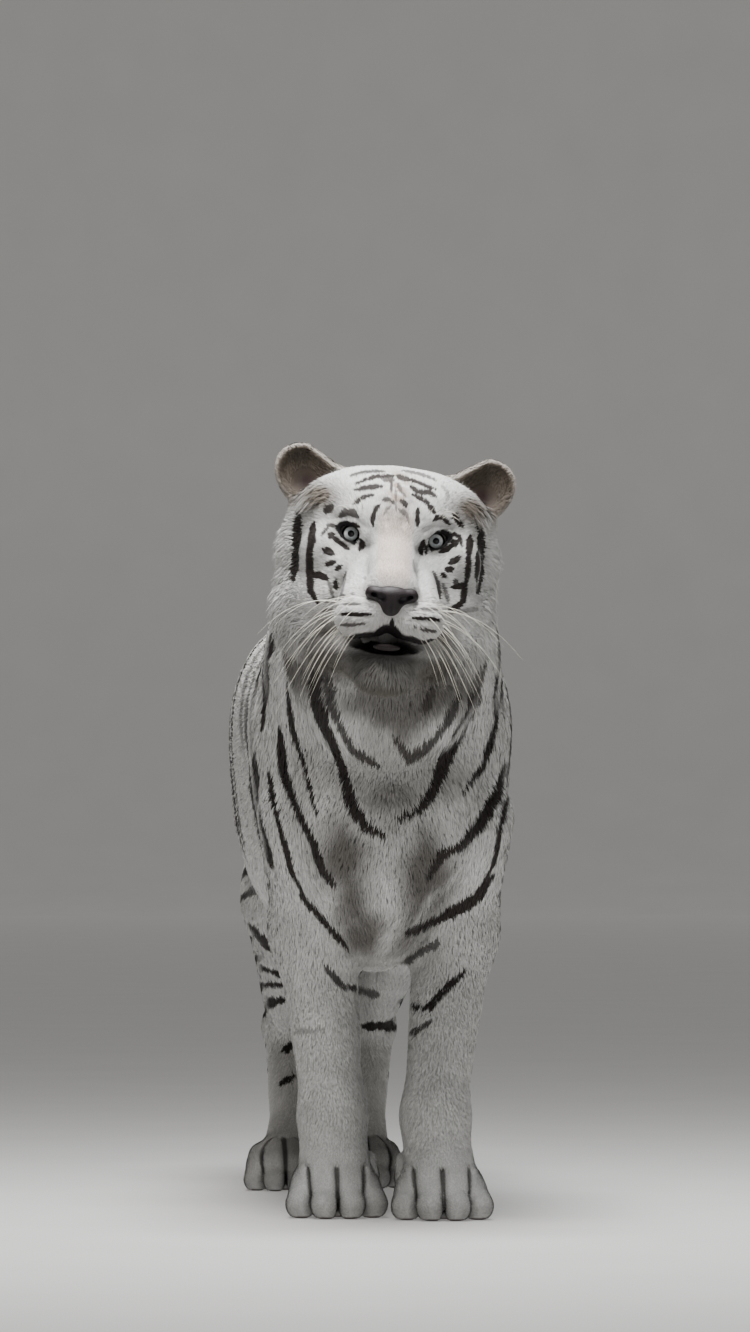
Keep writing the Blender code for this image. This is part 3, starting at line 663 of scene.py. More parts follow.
foreStrokes = [
    # chest
    ([(-94, 816), (-88, 771), (-66, 715), (-49, 673), (-38, 630), (-17, 592), (11, 574)], 13.5, 1),
    ([(-76, 822), (-66, 774), (-49, 733), (-32, 703), (5, 679)], 10.5, .9),
    ([(154, 789), (133, 739), (109, 691), (88, 642), (65, 614), (38, 598)], 14.3, 1),
    ([(127, 786), (109, 745), (76, 706), (53, 691), (29, 721)], 10.5, .9), ([(91, 795), (71, 762)], 7.5, .8),
    ([(-93, 822), (-87, 775), (-76, 735)], 17, 1), ([(156, 798), (141, 752)], 14, 1),
    # right shoulder
    ([(-133, 804), (-127, 739), (-106, 676), (-88, 608)], 4.5, 1),
    ([(-145, 739), (-139, 673), (-115, 605), (-94, 565), (-79, 520), (-63, 499)], 10.5, 1),
    ([(-162, 673), (-154, 630), (-142, 577), (-127, 520), (-109, 485)], 6, 1),
    ([(-183, 700), (-183, 645), (-174, 586), (-156, 526)], 9, 1),
    ([(-165, 864), (-165, 804), (-171, 736)], 6, 1), ([(-148, 896), (-163, 840)], 6, 1),
    # left shoulder
    ([(184, 816), (184, 745), (166, 685), (133, 639)], 6, 1),
    ([(199, 682), (184, 639), (160, 592), (130, 559), (100, 544), (82, 511)], 13.5, 1),
    ([(205, 660), (190, 586), (184, 541), (163, 499)], 4.5, 1),
    # forelegs
    ([(180, 515), (154, 479), (95, 446), (51, 428)], 13.5, 1), ([(95, 413), (41, 379)], 7.5, .8),
    ([(136, 369), (103, 339), (80, 314), (44, 318)], 7.5, 1), ([(88, 295), (51, 274)], 6, .9),
    ([(-113, 485), (-88, 456), (-44, 405)], 6, 1), ([(-77, 379), (-47, 346), (-15, 343)], 6, .9),
    ([(-121, 277), (-80, 281)], 6, .4),
]
paintedShadeStrokes = [   # painted shade in the hollows between the chest and the forelegs, and on the throat
    ([(-50, 585), (-42, 500), (-8, 385)], 64, .88), ([(74, 580), (82, 500), (45, 385)], 66, .88),
    ([(28, 850), (32, 790), (36, 725)], 120, .84), ([(34, 770), (28, 590)], 150, .45),
]
mouthStrokes = [    # the dark skin of the lips, and painted shade over what lies behind them
    ([(-38, 869), (-20, 861)], 17, 1), ([(-18, 858), (62, 854)], 22, 1), ([(26, 888), (26, 854)], 17, 1),
    ([(26, 900), (26, 884)], 7, 1), ([(62, 857), (90, 867)], 13, 1),
]
whiteStrokes = [    # pale fur under the eyes
    ([(-56, 1034), (-47, 1019), (-35, 1008)], 7.5, 1), ([(-30, 1018), (-30, 1003)], 5, 1),
    ([(82, 1012), (97, 1012), (109, 1022)], 5.5, 1),
]
hindStrokes = [
    ([(-193, 438), (-147, 395)], 12, 1), ([(-181, 376), (-133, 361)], 6, 1),
    ([(-171, 349), (-130, 348)], 4.5, 1), ([(-172, 318), (-139, 325)], 12, 1),
    ([(-139, 248), (-124, 259)], 7.5, 1), ([(-142, 200), (-121, 212)], 7.5, 1),
    ([(-18, 286), (38, 286)], 12, 1), ([(-51, 348), (3, 333)], 10.5, .8),
]


def strokeMask(u, v, strokes, ragged, soft, widen=0.0):   # darkness of the strokes at the places u, v
    dark = np.zeros(len(u))
    wobble = wave(np.stack([u, v, u - v], 1), .30 / max(ragged, .5)) * ragged
    for points, width, strength in strokes:
        line, width = np.array(points, float), width + widen
        span = width / 2 + ragged + soft
        near = np.nonzero((u > line[:, 0].min() - span) & (u < line[:, 0].max() + span)
                          & (v > line[:, 1].min() - span) & (v < line[:, 1].max() + span))[0]
        if not len(near):
            continue
        lengths = lengthOf(np.diff(line, axis=0))
        start = np.concatenate([[0], np.cumsum(lengths)])
        best, along = np.full(len(near), 1e9), np.zeros(len(near))
        p = np.stack([u[near], v[near]], 1)
        for k, length in enumerate(lengths):
            way = (line[k + 1] - line[k]) / max(length, 1e-6)
            t = np.clip((p - line[k]) @ way, 0, length)
            d = lengthOf(p - line[k] - t[:, None] * way)
            closer = d < best
            best[closer], along[closer] = d[closer], (start[k] + t[closer]) / start[-1]
        taper = np.minimum(1, np.minimum(along + .12, 1.12 - along) * 3.2) ** .7
        taper *= 1 + .30 * min(1, ragged / 3) * np.sin(along * 9 + line[0, 0])
        half = width / 2 * taper + wobble[near] * min(1, width / 6)
        dark[near] = np.maximum(dark[near], strength * ease(soft, -soft, best - half))
    return dark


def frontAxes():
    a = math.radians(frontView["azimuth"])
    return np.array((math.cos(a), math.sin(a), 0)), np.array((-math.sin(a), math.cos(a), 0))


def seenFromAhead(p):   # in millimetres
    right, ahead = frontAxes()
    scale = 1000 * frontView["distance"] / (frontView["distance"] + p @ ahead)
    height = frontView["height"]
    return (p @ right + frontView["aside"]) * scale, 1000 * height + (p[:, 2] - height) * scale, ahead


def flankStrokes(seed):   # bands that run down each side, in mm along the back and mm round from the spine
    rng = np.random.default_rng(seed)
    strokes = []
    y = -150.0

    def band(start, low, end, lean, width, bow=0.0):
        steps = np.linspace(0, 1, 8)
        sway = rng.normal(0, 4.0, 8).cumsum() * .6
        line = [(float(start + lean * t + bow * math.sin(math.pi * t) + off), float(low + (end - low) * t))
                for t, off in zip(steps, sway)]
        strokes.append((line, width, 1))

    while y < 370:   # plain wide ones behind the shoulder
        band(y, 6, rng.uniform(330, 440), rng.uniform(0, 35), rng.uniform(19, 25))
        y += rng.uniform(54, 64)
    while y < 1190:
        shoulder = ease(220, 60, np.array([y]))[0]
        end = rng.uniform(310, 430) - 110 * shoulder
        lean = rng.uniform(-10, 40) + 30 * shoulder + 60 * ease(600, 800, np.array([y]))[0]
        width = rng.uniform(14, 21) - 2 * shoulder
        if rng.random() < .42:   # a pair that parts in the middle and meets at both ends
            bow = rng.uniform(13, 20)
            band(y, 6, end, lean, width * .72, -bow)
            band(y + 3, 30, end * .94, lean, width * .66, bow)
            y += 18
        else:
            band(y, 4, end, lean, width)
        if rng.random() < .6:   # a short one low down, between two
            low = rng.uniform(220, 290)
            band(y + 36, low, low + rng.uniform(70, 150), lean * .4, width * .62)
        if rng.random() < .45:   # and a short one beside the spine
            band(y + 30, 8, rng.uniform(70, 130), lean * .3, width * .55)
        y += rng.uniform(60, 80)
    return strokes


def ringStrokes(seed, low, high, step, width, reach):   # bars across a leg, in mm round from its outer side
    rng = np.random.default_rng(seed)
    strokes = []
    z = low
    while z < high:
        tilt = rng.uniform(-18, 18)
        wide = rng.uniform(.8, 1.2) * width * (.6 + .5 * (z - low) / (high - low))
        side = rng.uniform(.7, 1) * reach
        strokes.append(([(-side, z - tilt), (0, z + 6), (side, z + tilt)], wide, 1))
        z += rng.uniform(.8, 1.25) * step
    return strokes


sideMarks = {
    "flank": {1: flankStrokes(11), -1: flankStrokes(23)},
    "cheek": [([(52, 12), (70, -30), (66, -82)], 10, 1), ([(92, 4), (112, -46), (98, -112)], 11, 1),
              ([(128, -20), (146, -70), (128, -132)], 9, .9), ([(70, -96), (50, -122)], 7, .8)],
    "thigh": {1: ringStrokes(5, 190, 700, 42, 14, 120), -1: ringStrokes(8, 190, 700, 42, 14, 120)},
    "foreleg": {1: ringStrokes(2, 330, 520, 60, 8, 60), -1: ringStrokes(4, 330, 520, 60, 8, 60)},
    "nape": ringStrokes(31, -330, 10, 46, 11, 150),
    "tail": ringStrokes(13, 60, 720, 62, 24, 400),
}
# coat colours; the dark one used under the head, under the ruff and in the hollows is painted shade, and the
# chin's is darkened by painted shade
white = {"back": (.545, .527, .492), "side": (.590, .583, .565), "under": (.620, .615, .602),
         "bridge": (.530, .430, .365), "muzzle": (.690, .670, .650), "brown": (.30, .22, .165),
         "paintedShade": (.058, .050, .041), "chin": (.088, .081, .069), "fringe": (.125, .100, .076),
         "ear": (.33, .295, .26), "earSpot": (.58, .56, .53)}
# darkest colours; the mouth's is black lip skin and painted shade inside the mouth, and the toes' creases are
# painted shade
darkest = {"stripe": (.026, .021, .019), "rim": (.008, .007, .007), "earBack": (.030, .026, .024),
           "earInside": (.102, .084, .067), "earDeep": (.030, .017, .016), "mouth": (.010, .008, .008),
           "pads": (.085, .060, .055), "toeGapShade": (.050, .044, .039)}


def tailPlace(p):   # metres along the tail from its root
    line = np.array([at for at, r in tailLine])
    start, best, along = 0.0, np.full(len(p), 1e9), np.zeros(len(p))
    for a, b in zip(line, line[1:]):
        length = lengthOf(b - a)
        t = np.clip((p - a) @ (b - a) / length, 0, length)
        d = lengthOf(p - a - t[:, None] * (b - a) / length)
        closer = d < best
        best[closer], along[closer] = d[closer], start + t[closer]
        start += length
    return along


def sideStrokes(p, softness):   # the marks of flank, thigh, foreleg, nape and tail
    x, y, z = p.T
    side = np.where(x > 0, 1, -1)
    fromSpine = np.degrees(np.arctan2(np.abs(x), z - .640)) * 3.1
    outer = np.degrees(np.arctan2(y - (.93 + .16 * ease(.5, .3, z)), np.abs(x))) * 1.4
    outerFore = np.degrees(np.arctan2(y - .02, np.abs(x - side * .03))) * 1.1
    sloped = 1000 * (z + (y - .93) * (.10 + .75 * ease(.46, .70, z)))
    found = []
    for name, u, v, ragged, soft in (("flank", y * 1000, fromSpine, 3.2, 2.2),
                                     ("thigh", outer, sloped, 3.0, 2.0),
                                     ("foreleg", outerFore, z * 1000, 2.0, 1.6)):
        dark = np.zeros(len(p))
        for s in (1, -1):
            there = side == s
            dark[there] = strokeMask(u[there], v[there], sideMarks[name][s], ragged, soft * softness)
        found.append(dark)
    nape = strokeMask(x * 1000, y * 1000, sideMarks["nape"], 2.5, 1.8 * softness)
    along = tailPlace(p) * 1000
    rings = strokeMask(np.zeros(len(p)), along + 12 * wave(p, 20, 2), sideMarks["tail"], 4, 3 * softness)
    return (*found, nape, np.maximum(rings, ease(790, 850, along)))


def earColours(q, back):
    inCup = np.minimum(*[distanceTo(earCup(s)[0], q) for s in (-1, 1)])
    back = ease(-.1, .35, back) * ease(.040, .052, q[:, 2])
    ear = mix(white["ear"], darkest["earBack"], back)
    spot = np.exp(-((np.abs(q[:, 0]) - .143) / .016) ** 2 - ((q[:, 2] - .096) / .015) ** 2)
    ear = mix(ear, white["earSpot"], ease(.4, .7, spot) * back)
    return mix(ear, mix(darkest["earInside"], darkest["earDeep"], deepInEar(q)), ease(.0035, .0005, inCup))


def coloursAt(p, n, w, softness=1.0):   # the coat's own colour at each point, for skin and tufts alike
    q = toHead(p)
    x, y, z = q.T   # from here x, y and z are the head's own
    behind, height, nz = p[:, 1], p[:, 2], n[:, 2]
    onEar = ease(.25, .60, w[:, 1])
    onHead = w[:, 0] + (w[:, 1] - onEar).clip(0, 1)
    onTrunk = w[:, 2] + w[:, 3]
    onFore, onHind, onTail = w[:, 4] + w[:, 5], w[:, 6] + w[:, 7], w[:, 8]
    colour = mix(mix(white["side"], white["back"], ease(-.2, .8, nz) * (onTrunk + onHind)), white["under"],
                 ease(.0, -.7, nz) * .8)
    colour *= (1 + .05 * wave(p, 26) + .05 * wave(p, 71, 3))[:, None]

    bridge = ease(.034, .016, np.abs(x)) * ease(.060, .010, z) * ease(-.105, -.070, z)
    colour = mix(colour, white["bridge"], onHead * bridge * ease(.03, -.01, y) * .85)
    # painted shade where the lower head faces down, under the jaw
    below = ease(-.10, -.60, nz) * ease(-.08, -.13, z) * ease(.125, .085, np.abs(x))
    colour = mix(colour, white["paintedShade"], onHead * below * .95)
    muzzle = ease(.02, -.04, y) * ease(-.055, -.085, z) * ease(-.165, -.150, z)
    colour = mix(colour, white["muzzle"], onHead * muzzle * .8)
    crown = np.exp(-(x / .020) ** 2) * ease(.035, .055, z) * ease(.115, .085, z)
    colour = mix(colour, white["brown"], onHead * crown * .85 * ease(-.7, .2, wave(p, 260, 5)))
    # painted shade: the chin's coat is darkened, as it lies in shade under the mouth
    colour = mix(colour, white["chin"], onHead * (ease(-.166, -.180, z) * ease(.16, .06, y)) * .80)
    rim = ease(-.130, -.165, z) * ease(-.270, -.200, z) * ease(.03, .09, np.abs(x)) * (y < .20)
    colour = mix(colour, white["paintedShade"], (1 - .35 * onHead) * rim * .85)   # shade under the ruff
    colour = mix(colour, white["fringe"], (onHead + onEar) * np.minimum(fringeAt(q) * 1.25, 1) * .9)

    u, v, ahead = seenFromAhead(p)
    toward = -(n @ ahead)
    onSkull = w[:, 0]
    facing = ease(.03, .20 - .09 * ease(.6, .95, nz), toward) * onSkull
    facing += ease(.10, .34, toward) * (1 - onSkull)
    face = strokeMask(u, v, faceStrokes, .5, .6 * softness, 2.0)
    fore = strokeMask(u, v, foreStrokes, 1.8, 1.6 * softness, 3.2)
    hind = strokeMask(u, v, hindStrokes, 1.8, 1.6 * softness, 3.0)
    # painted shade in the hollows of the chest and on the throat
    hollow = strokeMask(u, v, paintedShadeStrokes, 10, 34) * ease(.40, .15, behind) * ease(.10, .45, toward)
    colour = mix(colour, white["paintedShade"], hollow * (onTrunk + .5 * onFore))
    colour = mix(colour, white["muzzle"], strokeMask(u, v, whiteStrokes, .3, .6) * onHead * (y < .06))
    onFront = ease(.34, .24, behind)
    drawn = (onHead + (onTrunk + onFore) * onFront + onHind * (height < .46)) * facing
    front = face * onHead + fore * (onTrunk + onFore) * onFront + hind * (1 - onFront) * (1 - onHead)

    flank, thigh, foreleg, nape, rings = sideStrokes(p, softness)
    cheek = strokeMask(y * 1000, z * 1000, sideMarks["cheek"], 2.0, 1.2 * softness)
    onRump = ease(.64, .80, behind) * ease(.72, .62, height)   # where bars take over from the bands
    backOfHead = (w[:, 0] + w[:, 2]) * ease(.35, .75, nz) * (y > .06)
    beside = flank * (onTrunk + onHind) * (1 - onRump) * ease(.50, .58, height) * (1 - backOfHead)
    onThigh = np.maximum(onRump * (onTrunk + onHind), onHind * ease(.15, .24, height))
    beside += thigh * onThigh * ease(.73, .66, height)
    beside += foreleg * onFore * .8 + nape * backOfHead + cheek * onHead * (1 - backOfHead)
    dark = np.maximum(np.clip(front * drawn + beside * (1 - drawn), 0, 1), rings * onTail)
    colour = mix(colour, darkest["stripe"], dark * (1 - onEar))

    for s in sides.values():   # the black rims round the eyes, thicker above and at the inner corner
        edge, o = almond(q, s)
        thick = .0040 + .0014 * ease(0, .006, o[:, 2]) + .0020 * ease(0, -.012, o[:, 0] * s)
        rim = ease(thick + .0010, thick - .0006, edge) * (o[:, 1] < .010) * (lengthOf(o) < .036)
        colour = mix(colour, darkest["rim"], rim)
    # black skin of the lips and the lip's cleft, and painted shade inside the mouth
    philtrum = bone((0, -.134, -.116), (0, -.128, -.142), .0016, .0030)
    lips = np.min([distanceTo(mouthForms[0], q), distanceTo(mouthForms[1], q),
                   distanceTo(lipForms[0], q) + .0010, distanceTo(philtrum, q) + .0025], axis=0)
    under = ease(-.132, -.142, z) * ease(-.168, -.160, z) * ease(-.02, -.05, y)
    colour = mix(colour, darkest["mouth"], ease(.0050, .0022, lips - .002 * under) * onHead)
    mouth = strokeMask(u, v, mouthStrokes, .4, 1.6 * softness) * ease(-.01, -.04, y) * onHead
    colour = mix(colour, darkest["mouth"], mouth * ease(-.174, -.168, z))

    colour = mix(colour, earColours(q, (n @ headPlace["turn"])[:, 1]), onEar)
    # painted shade in the creases between the toes
    toeGapShade = ease(.35, .85, betweenToes(p, .0050)) * ease(.004, .012, height)
    colour = mix(colour, darkest["toeGapShade"], toeGapShade * .85)
    colour = mix(colour, darkest["pads"], ease(.0035, .0015, height))
    return np.clip(colour, .004, .95)


skinPoints, skinNormals = vectorsOf(skin.data), vectorsOf(skin.data, "normal")
skinWeights = partWeights(skinPoints)
skinColours = coloursAt(skinPoints, skinNormals, skinWeights)
paint(skin.data, "coatColour", skinColours * .82)
print("skin painted")


# the coat: thin tufts that lie along the body, each a folded blade of two triangles
# each part: (length, width, tufts to a square metre)
tuftSize = {
    "face": (.0068, .0013, 400000), "bridge": (.0042, .0010, 460000), "crown": (.0095, .0016, 260000),
    "cheek": (.0130, .0019, 220000), "ruff": (.0260, .0026, 150000), "chin": (.0190, .0020, 200000),
    "ruffEdge": (.0380, .0028, 150000), "fringe": (.0280, .0024, 200000), "ear": (.0070, .0014, 280000),
    "neck": (.0220, .0027, 120000), "trunk": (.0180, .0027, 105000), "belly": (.0300, .0032, 90000),
    "upperLeg": (.0130, .0022, 150000), "lowerLeg": (.0090, .0018, 210000), "paw": (.0060, .0014, 330000),
    "tail": (.0180, .0027, 110000),
}
habit = {"wild": .13, "twist": .20, "stray": .16, "strayRise": .0050, "droop": .16, "most": 95000}


def tuftSizeAt(p, w):
    q = toHead(p)
    x, y, z = q.T
    wide, height, one = np.abs(x), p[:, 2], np.ones((len(p), 1))
    head = tuftSize["face"]
    for name, much in (("cheek", ease(.010, .060, y + .3 * np.maximum(-z - .05, 0))),
                       ("ruff", ease(.055, .115, y)),
                       ("crown", ease(.030, .055, z) * ease(.02, .05, y)),
                       ("bridge", ease(.040, .025, wide) * ease(.02, -.02, y) * ease(-.11, -.09, z)),
                       ("chin", ease(-.170, -.195, z) * ease(.08, .03, y)),
                       ("ruffEdge", ease(-.085, -.140, z) * ease(.05, .09, wide) * ease(.02, .06, y)),
                       ("fringe", fringeAt(q))):
        head = mix(head, tuftSize[name], much)
    for s in sides.values():   # shortest round the eyes
        head = mix(head, tuftSize["bridge"], np.exp(-(lengthOf(fromEye(q, s, 0)) / .028) ** 4))
    trunk = mix(tuftSize["trunk"], tuftSize["belly"], ease(.56, .46, height) * ease(-.1, .2, p[:, 1]))
    leg = mix(tuftSize["upperLeg"], tuftSize["lowerLeg"], ease(.46, .28, height))
    leg = mix(leg, tuftSize["paw"], ease(.16, .09, height))
    ear = mix(tuftSize["ear"], tuftSize["fringe"], fringeAt(q))
    each = [head, ear, one * tuftSize["neck"], trunk, leg, leg, leg, leg, one * tuftSize["tail"]]
    return sum(size * w[:, k:k + 1] for k, size in enumerate(each))


def depthAt(p, w):
    one, leg = np.ones(len(p)), legDepth(p)
    each = [headDepth(toHead(p)), one * coatDepth["ear"], one * coatDepth["neck"], trunkDepth(p),
            leg, leg, leg, leg, one * coatDepth["tail"]]
    return sum(d * w[:, k] for k, d in enumerate(each))


def placeOnUnwrap(p, part):   # the root's place on an unwrap of the skin, part by part
    x, y, z = toHead(p).T
    if part == "ear":
        u = np.where(x > 0, .5, 0) + np.where(y > .122, .25, 0) + (np.abs(x) - .08) / .12 * .24
        return np.stack([u, (z - .03) / .12], 1)
    if part in ("face", "head"):
        y, z = y - .07, z + .05
        return np.stack([.5 + np.arctan2(x, -y) / math.tau, .5 + np.arctan2(z, np.hypot(x, y)) / math.pi], 1)
    x, y, z = p.T
    if part in ("neck", "trunkFront", "trunkRear"):
        low = {"neck": -.35, "trunkFront": -.30, "trunkRear": .38}[part]
        return np.stack([(y - low) / .9, .5 + np.arctan2(x, z - .64) / math.tau], 1)
    if part == "tail":
        return np.stack([tailPlace(p) / 1.25, .5 + np.arctan2(x + .02, y - 1.35 + z * .1) / math.tau], 1)
    mid = np.mean([form["mid"] for form in legs[part]], axis=0)
    return np.stack([.5 + np.arctan2(x - mid[0], y - mid[1]) / math.tau, z / .75], 1)


def rootsOf(mesh, rng):   # where the tufts stand on the skin, the way out there, and the parts' weights
    mesh.calc_loop_triangles()
    corners = np.zeros(len(mesh.loop_triangles) * 3, np.int32)
    mesh.loop_triangles.foreach_get("vertices", corners)
    corners = corners.reshape(-1, 3)
    a, b, c = (skinPoints[corners[:, k]] for k in range(3))
    area = lengthOf(np.cross(b - a, c - a)) / 2
    expected = area * tuftSizeAt((a + b + c) / 3, skinWeights[corners].mean(1))[:, 2]
    tri = np.repeat(np.arange(len(area)), (expected + rng.random(len(area))).astype(int))
    r1, r2 = np.sqrt(rng.random(len(tri))), rng.random(len(tri))
    share = np.stack([1 - r1, r1 * (1 - r2), r1 * r2], 1)[:, :, None]
    root, n, w = ((values[corners[tri]] * share).sum(1) for values in (skinPoints, skinNormals, skinWeights))
    q = toHead(root)
    keep = root[:, 2] > .0030   # none on the soles, in the eyes' openings, the mouth, or under the nose
    for s in sides.values():
        edge, o = almond(q, s)
        keep &= ~((edge < .0022) & (o[:, 1] < .012) & (lengthOf(o) < .040))
        keep &= lengthOf(o) > eyeSize["radius"] + .0012
    for form in mouthForms:
        keep &= distanceTo(form, q) > .0016
    keep &= grow(noseForms, q) > .0002
    inCup = np.minimum(*[distanceTo(earCup(s)[0], q) for s in (-1, 1)])
    keep &= (inCup > .0008) | (deepInEar(q) < .30)
    print("tufts:", keep.sum())
    return root[keep], unit(n)[keep], w[keep]


def growCoat():
    rng = np.random.default_rng(7)
    root, n, w = rootsOf(skin.data, rng)
    count = len(root)
    size = tuftSizeAt(root, w)
    lie = lieOf(root, n, w)
    loose = ease(.012, .035, size[:, 0])          # long fur lies less evenly than short fur
    sway = .14 * wave(root, 38, 1) + .08 * wave(root, 110, 4)
    sway = sway + rng.normal(0, habit["wild"], count) * (1 + .8 * loose)
    lie = unit(lie + np.cross(n, lie) * sway[:, None])
    across = np.cross(n, lie)
    length = size[:, 0] * rng.uniform(.72, 1.25, count) * (1 + .12 * wave(root, 60, 6))
    width = size[:, 1] * rng.uniform(.75, 1.25, count)
    rise = depthAt(root, w) * rng.uniform(.75, 1.10, count) + .0005
    stray = (rng.random(count) < habit["stray"]) * w[:, 0] * ease(.016, .026, size[:, 0])   # round the ruff
    rise += habit["strayRise"] * stray
    length *= 1 + .25 * stray
    twist = rng.normal(0, habit["twist"], count)
    flat = across * np.cos(twist)[:, None] + n * np.sin(twist)[:, None]
    half = flat * (width / 2)[:, None]
    down = np.array((0, 0, -1)) * (length * habit["droop"] * loose)[:, None]
    base = root - n * .0006
    middle = root + lie * (length * .42)[:, None] + n * (rise * .80)[:, None] + down * .2
    tip = root + lie * length[:, None] + n * rise[:, None] + down
    blades = np.stack([base, middle - half, middle + half, tip], 1)
    blades[:, :, 2] = np.maximum(blades[:, :, 2], .0006)

    facet = unit(np.cross(unit(tip - base), across))
    facet *= np.sign((facet * n).sum(1, keepdims=True))
    soft = n * .75 + facet * .25 + lie * .18 + rng.normal(0, .10, (count, 3))
    normals = unit(np.stack([soft, soft - across * .45, soft + across * .45, soft], 1))

    seenAt = root + lie * (length * (.46 + .12 * loose))[:, None] + n * rise[:, None]
    colour = coloursAt(seenAt, n, w, .6)
    colour *= rng.normal(1, .07, count).clip(.8, 1.2)[:, None]
    shade = np.array((.74, .97, .97, 1.05))   # painted shade along each tuft, darker at the root where the coat shades it, from the root to the tip
    colours = colour[:, None, :] * (1 - (1 - shade)[None, :, None] * (.4 + .6 * loose)[:, None, None])

    home = np.array(partNames)[w.argmax(1)]
    home[(home == "head") & (toHead(root)[:, 1] < .045)] = "face"
    home[home == "trunk"] = "trunkRear"
    home[(home == "trunkRear") & (root[:, 1] < .42)] = "trunkFront"
    faces = np.array(((0, 1, 2), (1, 3, 2)))
    strand = np.array(((.5, 0), (0, .42), (1, .42), (.5, 1)))
    made = []
    for part in ["face", "head", "ear", "neck", "trunkFront", "trunkRear", *legs, "tail"]:
        index = np.nonzero(home == part)[0]
        for piece in range(max(1, math.ceil(len(index) / habit["most"]))):
            chosen = index[piece * habit["most"]:(piece + 1) * habit["most"]]
            name = "coat_" + part + ("" if piece == 0 else "_%d" % (piece + 1))
            tris = (faces[None] + (np.arange(len(chosen)) * 4)[:, None, None]).reshape(-1, 3)
            coat = meshFrom(name, blades[chosen].reshape(-1, 3), tris)
            ways = normals[chosen].reshape(-1, 3).astype(np.float32)
            coat.data.normals_split_custom_set_from_vertices(ways)
            paint(coat.data, "coatColour", colours[chosen].reshape(-1, 3))
            patch = placeOnUnwrap(root[chosen], part)[:, None, :] * .99 + .003 * strand[None]
            for layer, uv in (("OFBake", patch), ("strand", np.broadcast_to(strand, (len(chosen), 4, 2)))):
                uvs = uv[:, faces.ravel()].reshape(-1, 2).astype(np.float32)
                coat.data.uv_layers.new(name=layer).data.foreach_set("uv", uvs.ravel())
            made.append(coat)
            print("  %s: %d tufts" % (name, len(chosen)))
    return made


coats = growCoat()


# eyes, nose, tongue and whiskers
irisSize = {"radius": .0106, "pupil": .0046, "bulge": .0016}


def makeEye(side, s):
    work = bmesh.new()
    bmesh.ops.create_uvsphere(work, u_segments=48, v_segments=32, radius=eyeSize["radius"] * .985)
    corneaReach = irisSize["radius"] * 1.15
    for v in work.verts:   # the cornea stands out over the iris
        off = math.hypot(v.co.x, v.co.y)
        if v.co.z > 0 and off < corneaReach:
            v.co.z += irisSize["bulge"] * (1 - (off / corneaReach) ** 2)
    eye = addObject("eye_ball_" + side, meshOf("eye_ball_" + side, work))
    eye.rotation_mode = "QUATERNION"
    eye.rotation_quaternion = Vector(np.array((0, -1, 0)) @ headPlace["turn"].T).to_track_quat("Z", "Y")
    eye.location = fromHead((s * eyeSize["out"], eyeSize["back"], 0))
    return eye


def noseField(p):
    q = toHead(p)
    return carve(grow(noseForms, q), nostrilForms, q)


def tongueField(p):
    q = toHead(p)
    f = distanceTo(ball((0, -.082, -.1648), (.020, .032, .0052)), q)
    return np.maximum(f, -distanceTo(bone((0, -.12, -.1590), (0, -.06, -.1590), .0016, .0016), q))


def smallSurface(name, field, step):
    at = headPlace["at"]
    points, faces = surfaceOf(field, at + (-.06, -.16, -.21), at + (.06, .0, -.05), step)
    return meshFrom(name, settle(field, points, 2, .001), faces)


nose = smallSurface("nose_leather", noseField, .0012)
tongue = smallSurface("tongue_tip", tongueField, .0012)
# painted shade: the whole tongue is darkened to .8, as it lies inside the mouth
paint(tongue.data, "tone", np.full((len(tongue.data.vertices), 3), .8))
eyes = {side: makeEye(side, s) for side, s in sides.items()}

# painted shade: the nose's colour is darkened to .22 inside the nostrils
inNostril = np.min([distanceTo(form, toHead(vectorsOf(nose.data))) for form in nostrilForms], axis=0)
depthOfTone = ease(-.0006, .0022, inNostril)[:, None]
paint(nose.data, "tone", np.full((len(inNostril), 3), .22) * (1 - depthOfTone) + depthOfTone)
whiskerSize = {"rows": 5, "perRow": 5, "length": (.075, .125), "thick": .00058, "droop": 1.15, "steps": 9}


def makeWhiskers():
    rng = np.random.default_rng(19)
    roots, ways, lengths = [], [], []
    for s in sides.values():
        for row in range(whiskerSize["rows"]):
            for k in range(whiskerSize["perRow"]):
                back = k / (whiskerSize["perRow"] - 1)
                roots.append((s * (.046 + .034 * back), -.100 + .052 * back, -.098 - row * .0115 - .002 * k))
                ways.append((s * (.75 + .20 * back + rng.uniform(-.08, .08)),
                             -.40 + .40 * back + rng.uniform(-.1, .1),
                             .05 - .26 * row + rng.uniform(-.08, .08)))
                lengths.append(rng.uniform(*whiskerSize["length"]) * (.55 + .45 * back))
        for k in range(4):   # a few over the eye
            roots.append((s * (.046 + .008 * k), -.010, .034))
            ways.append((s * (.25 + .12 * k), -.55, .75 - .1 * k))
            lengths.append(rng.uniform(.035, .055))
    root = settle(bodyField, fromHead(np.array(roots)), 6, .02)
    way = unit(np.array(ways)) @ headPlace["turn"].T
    length, steps = np.array(lengths), whiskerSize["steps"]
    t = np.linspace(0, 1, steps)
    line = root[:, None] + way[:, None] * (length[:, None] * t)[:, :, None]
    line = line + np.array((0, 0, -1)) * (length[:, None] * whiskerSize["droop"] * .5 * t ** 2.2)[:, :, None]
    along = unit(np.gradient(line, axis=1))
    first = unit(np.cross(along, (0, 0, 1.0)))
    second = np.cross(along, first)
    thick = whiskerSize["thick"] * (1 - t) ** .7 + .00008
    rings = [line + (first * math.cos(a) + second * math.sin(a)) * thick[None, :, None]
             for a in (k * math.tau / 3 for k in range(3))]
    starts = [(i * steps + j) * 3 for i in range(len(root)) for j in range(steps - 1)]
    faces = [(a + k, a + (k + 1) % 3, a + 3 + (k + 1) % 3, a + 3 + k) for a in starts for k in range(3)]
    return meshFrom("whiskers", np.stack(rings, 2).reshape(-1, 3), np.array(faces))


whiskers = makeWhiskers()
print("eyes, nose, tongue and whiskers made")


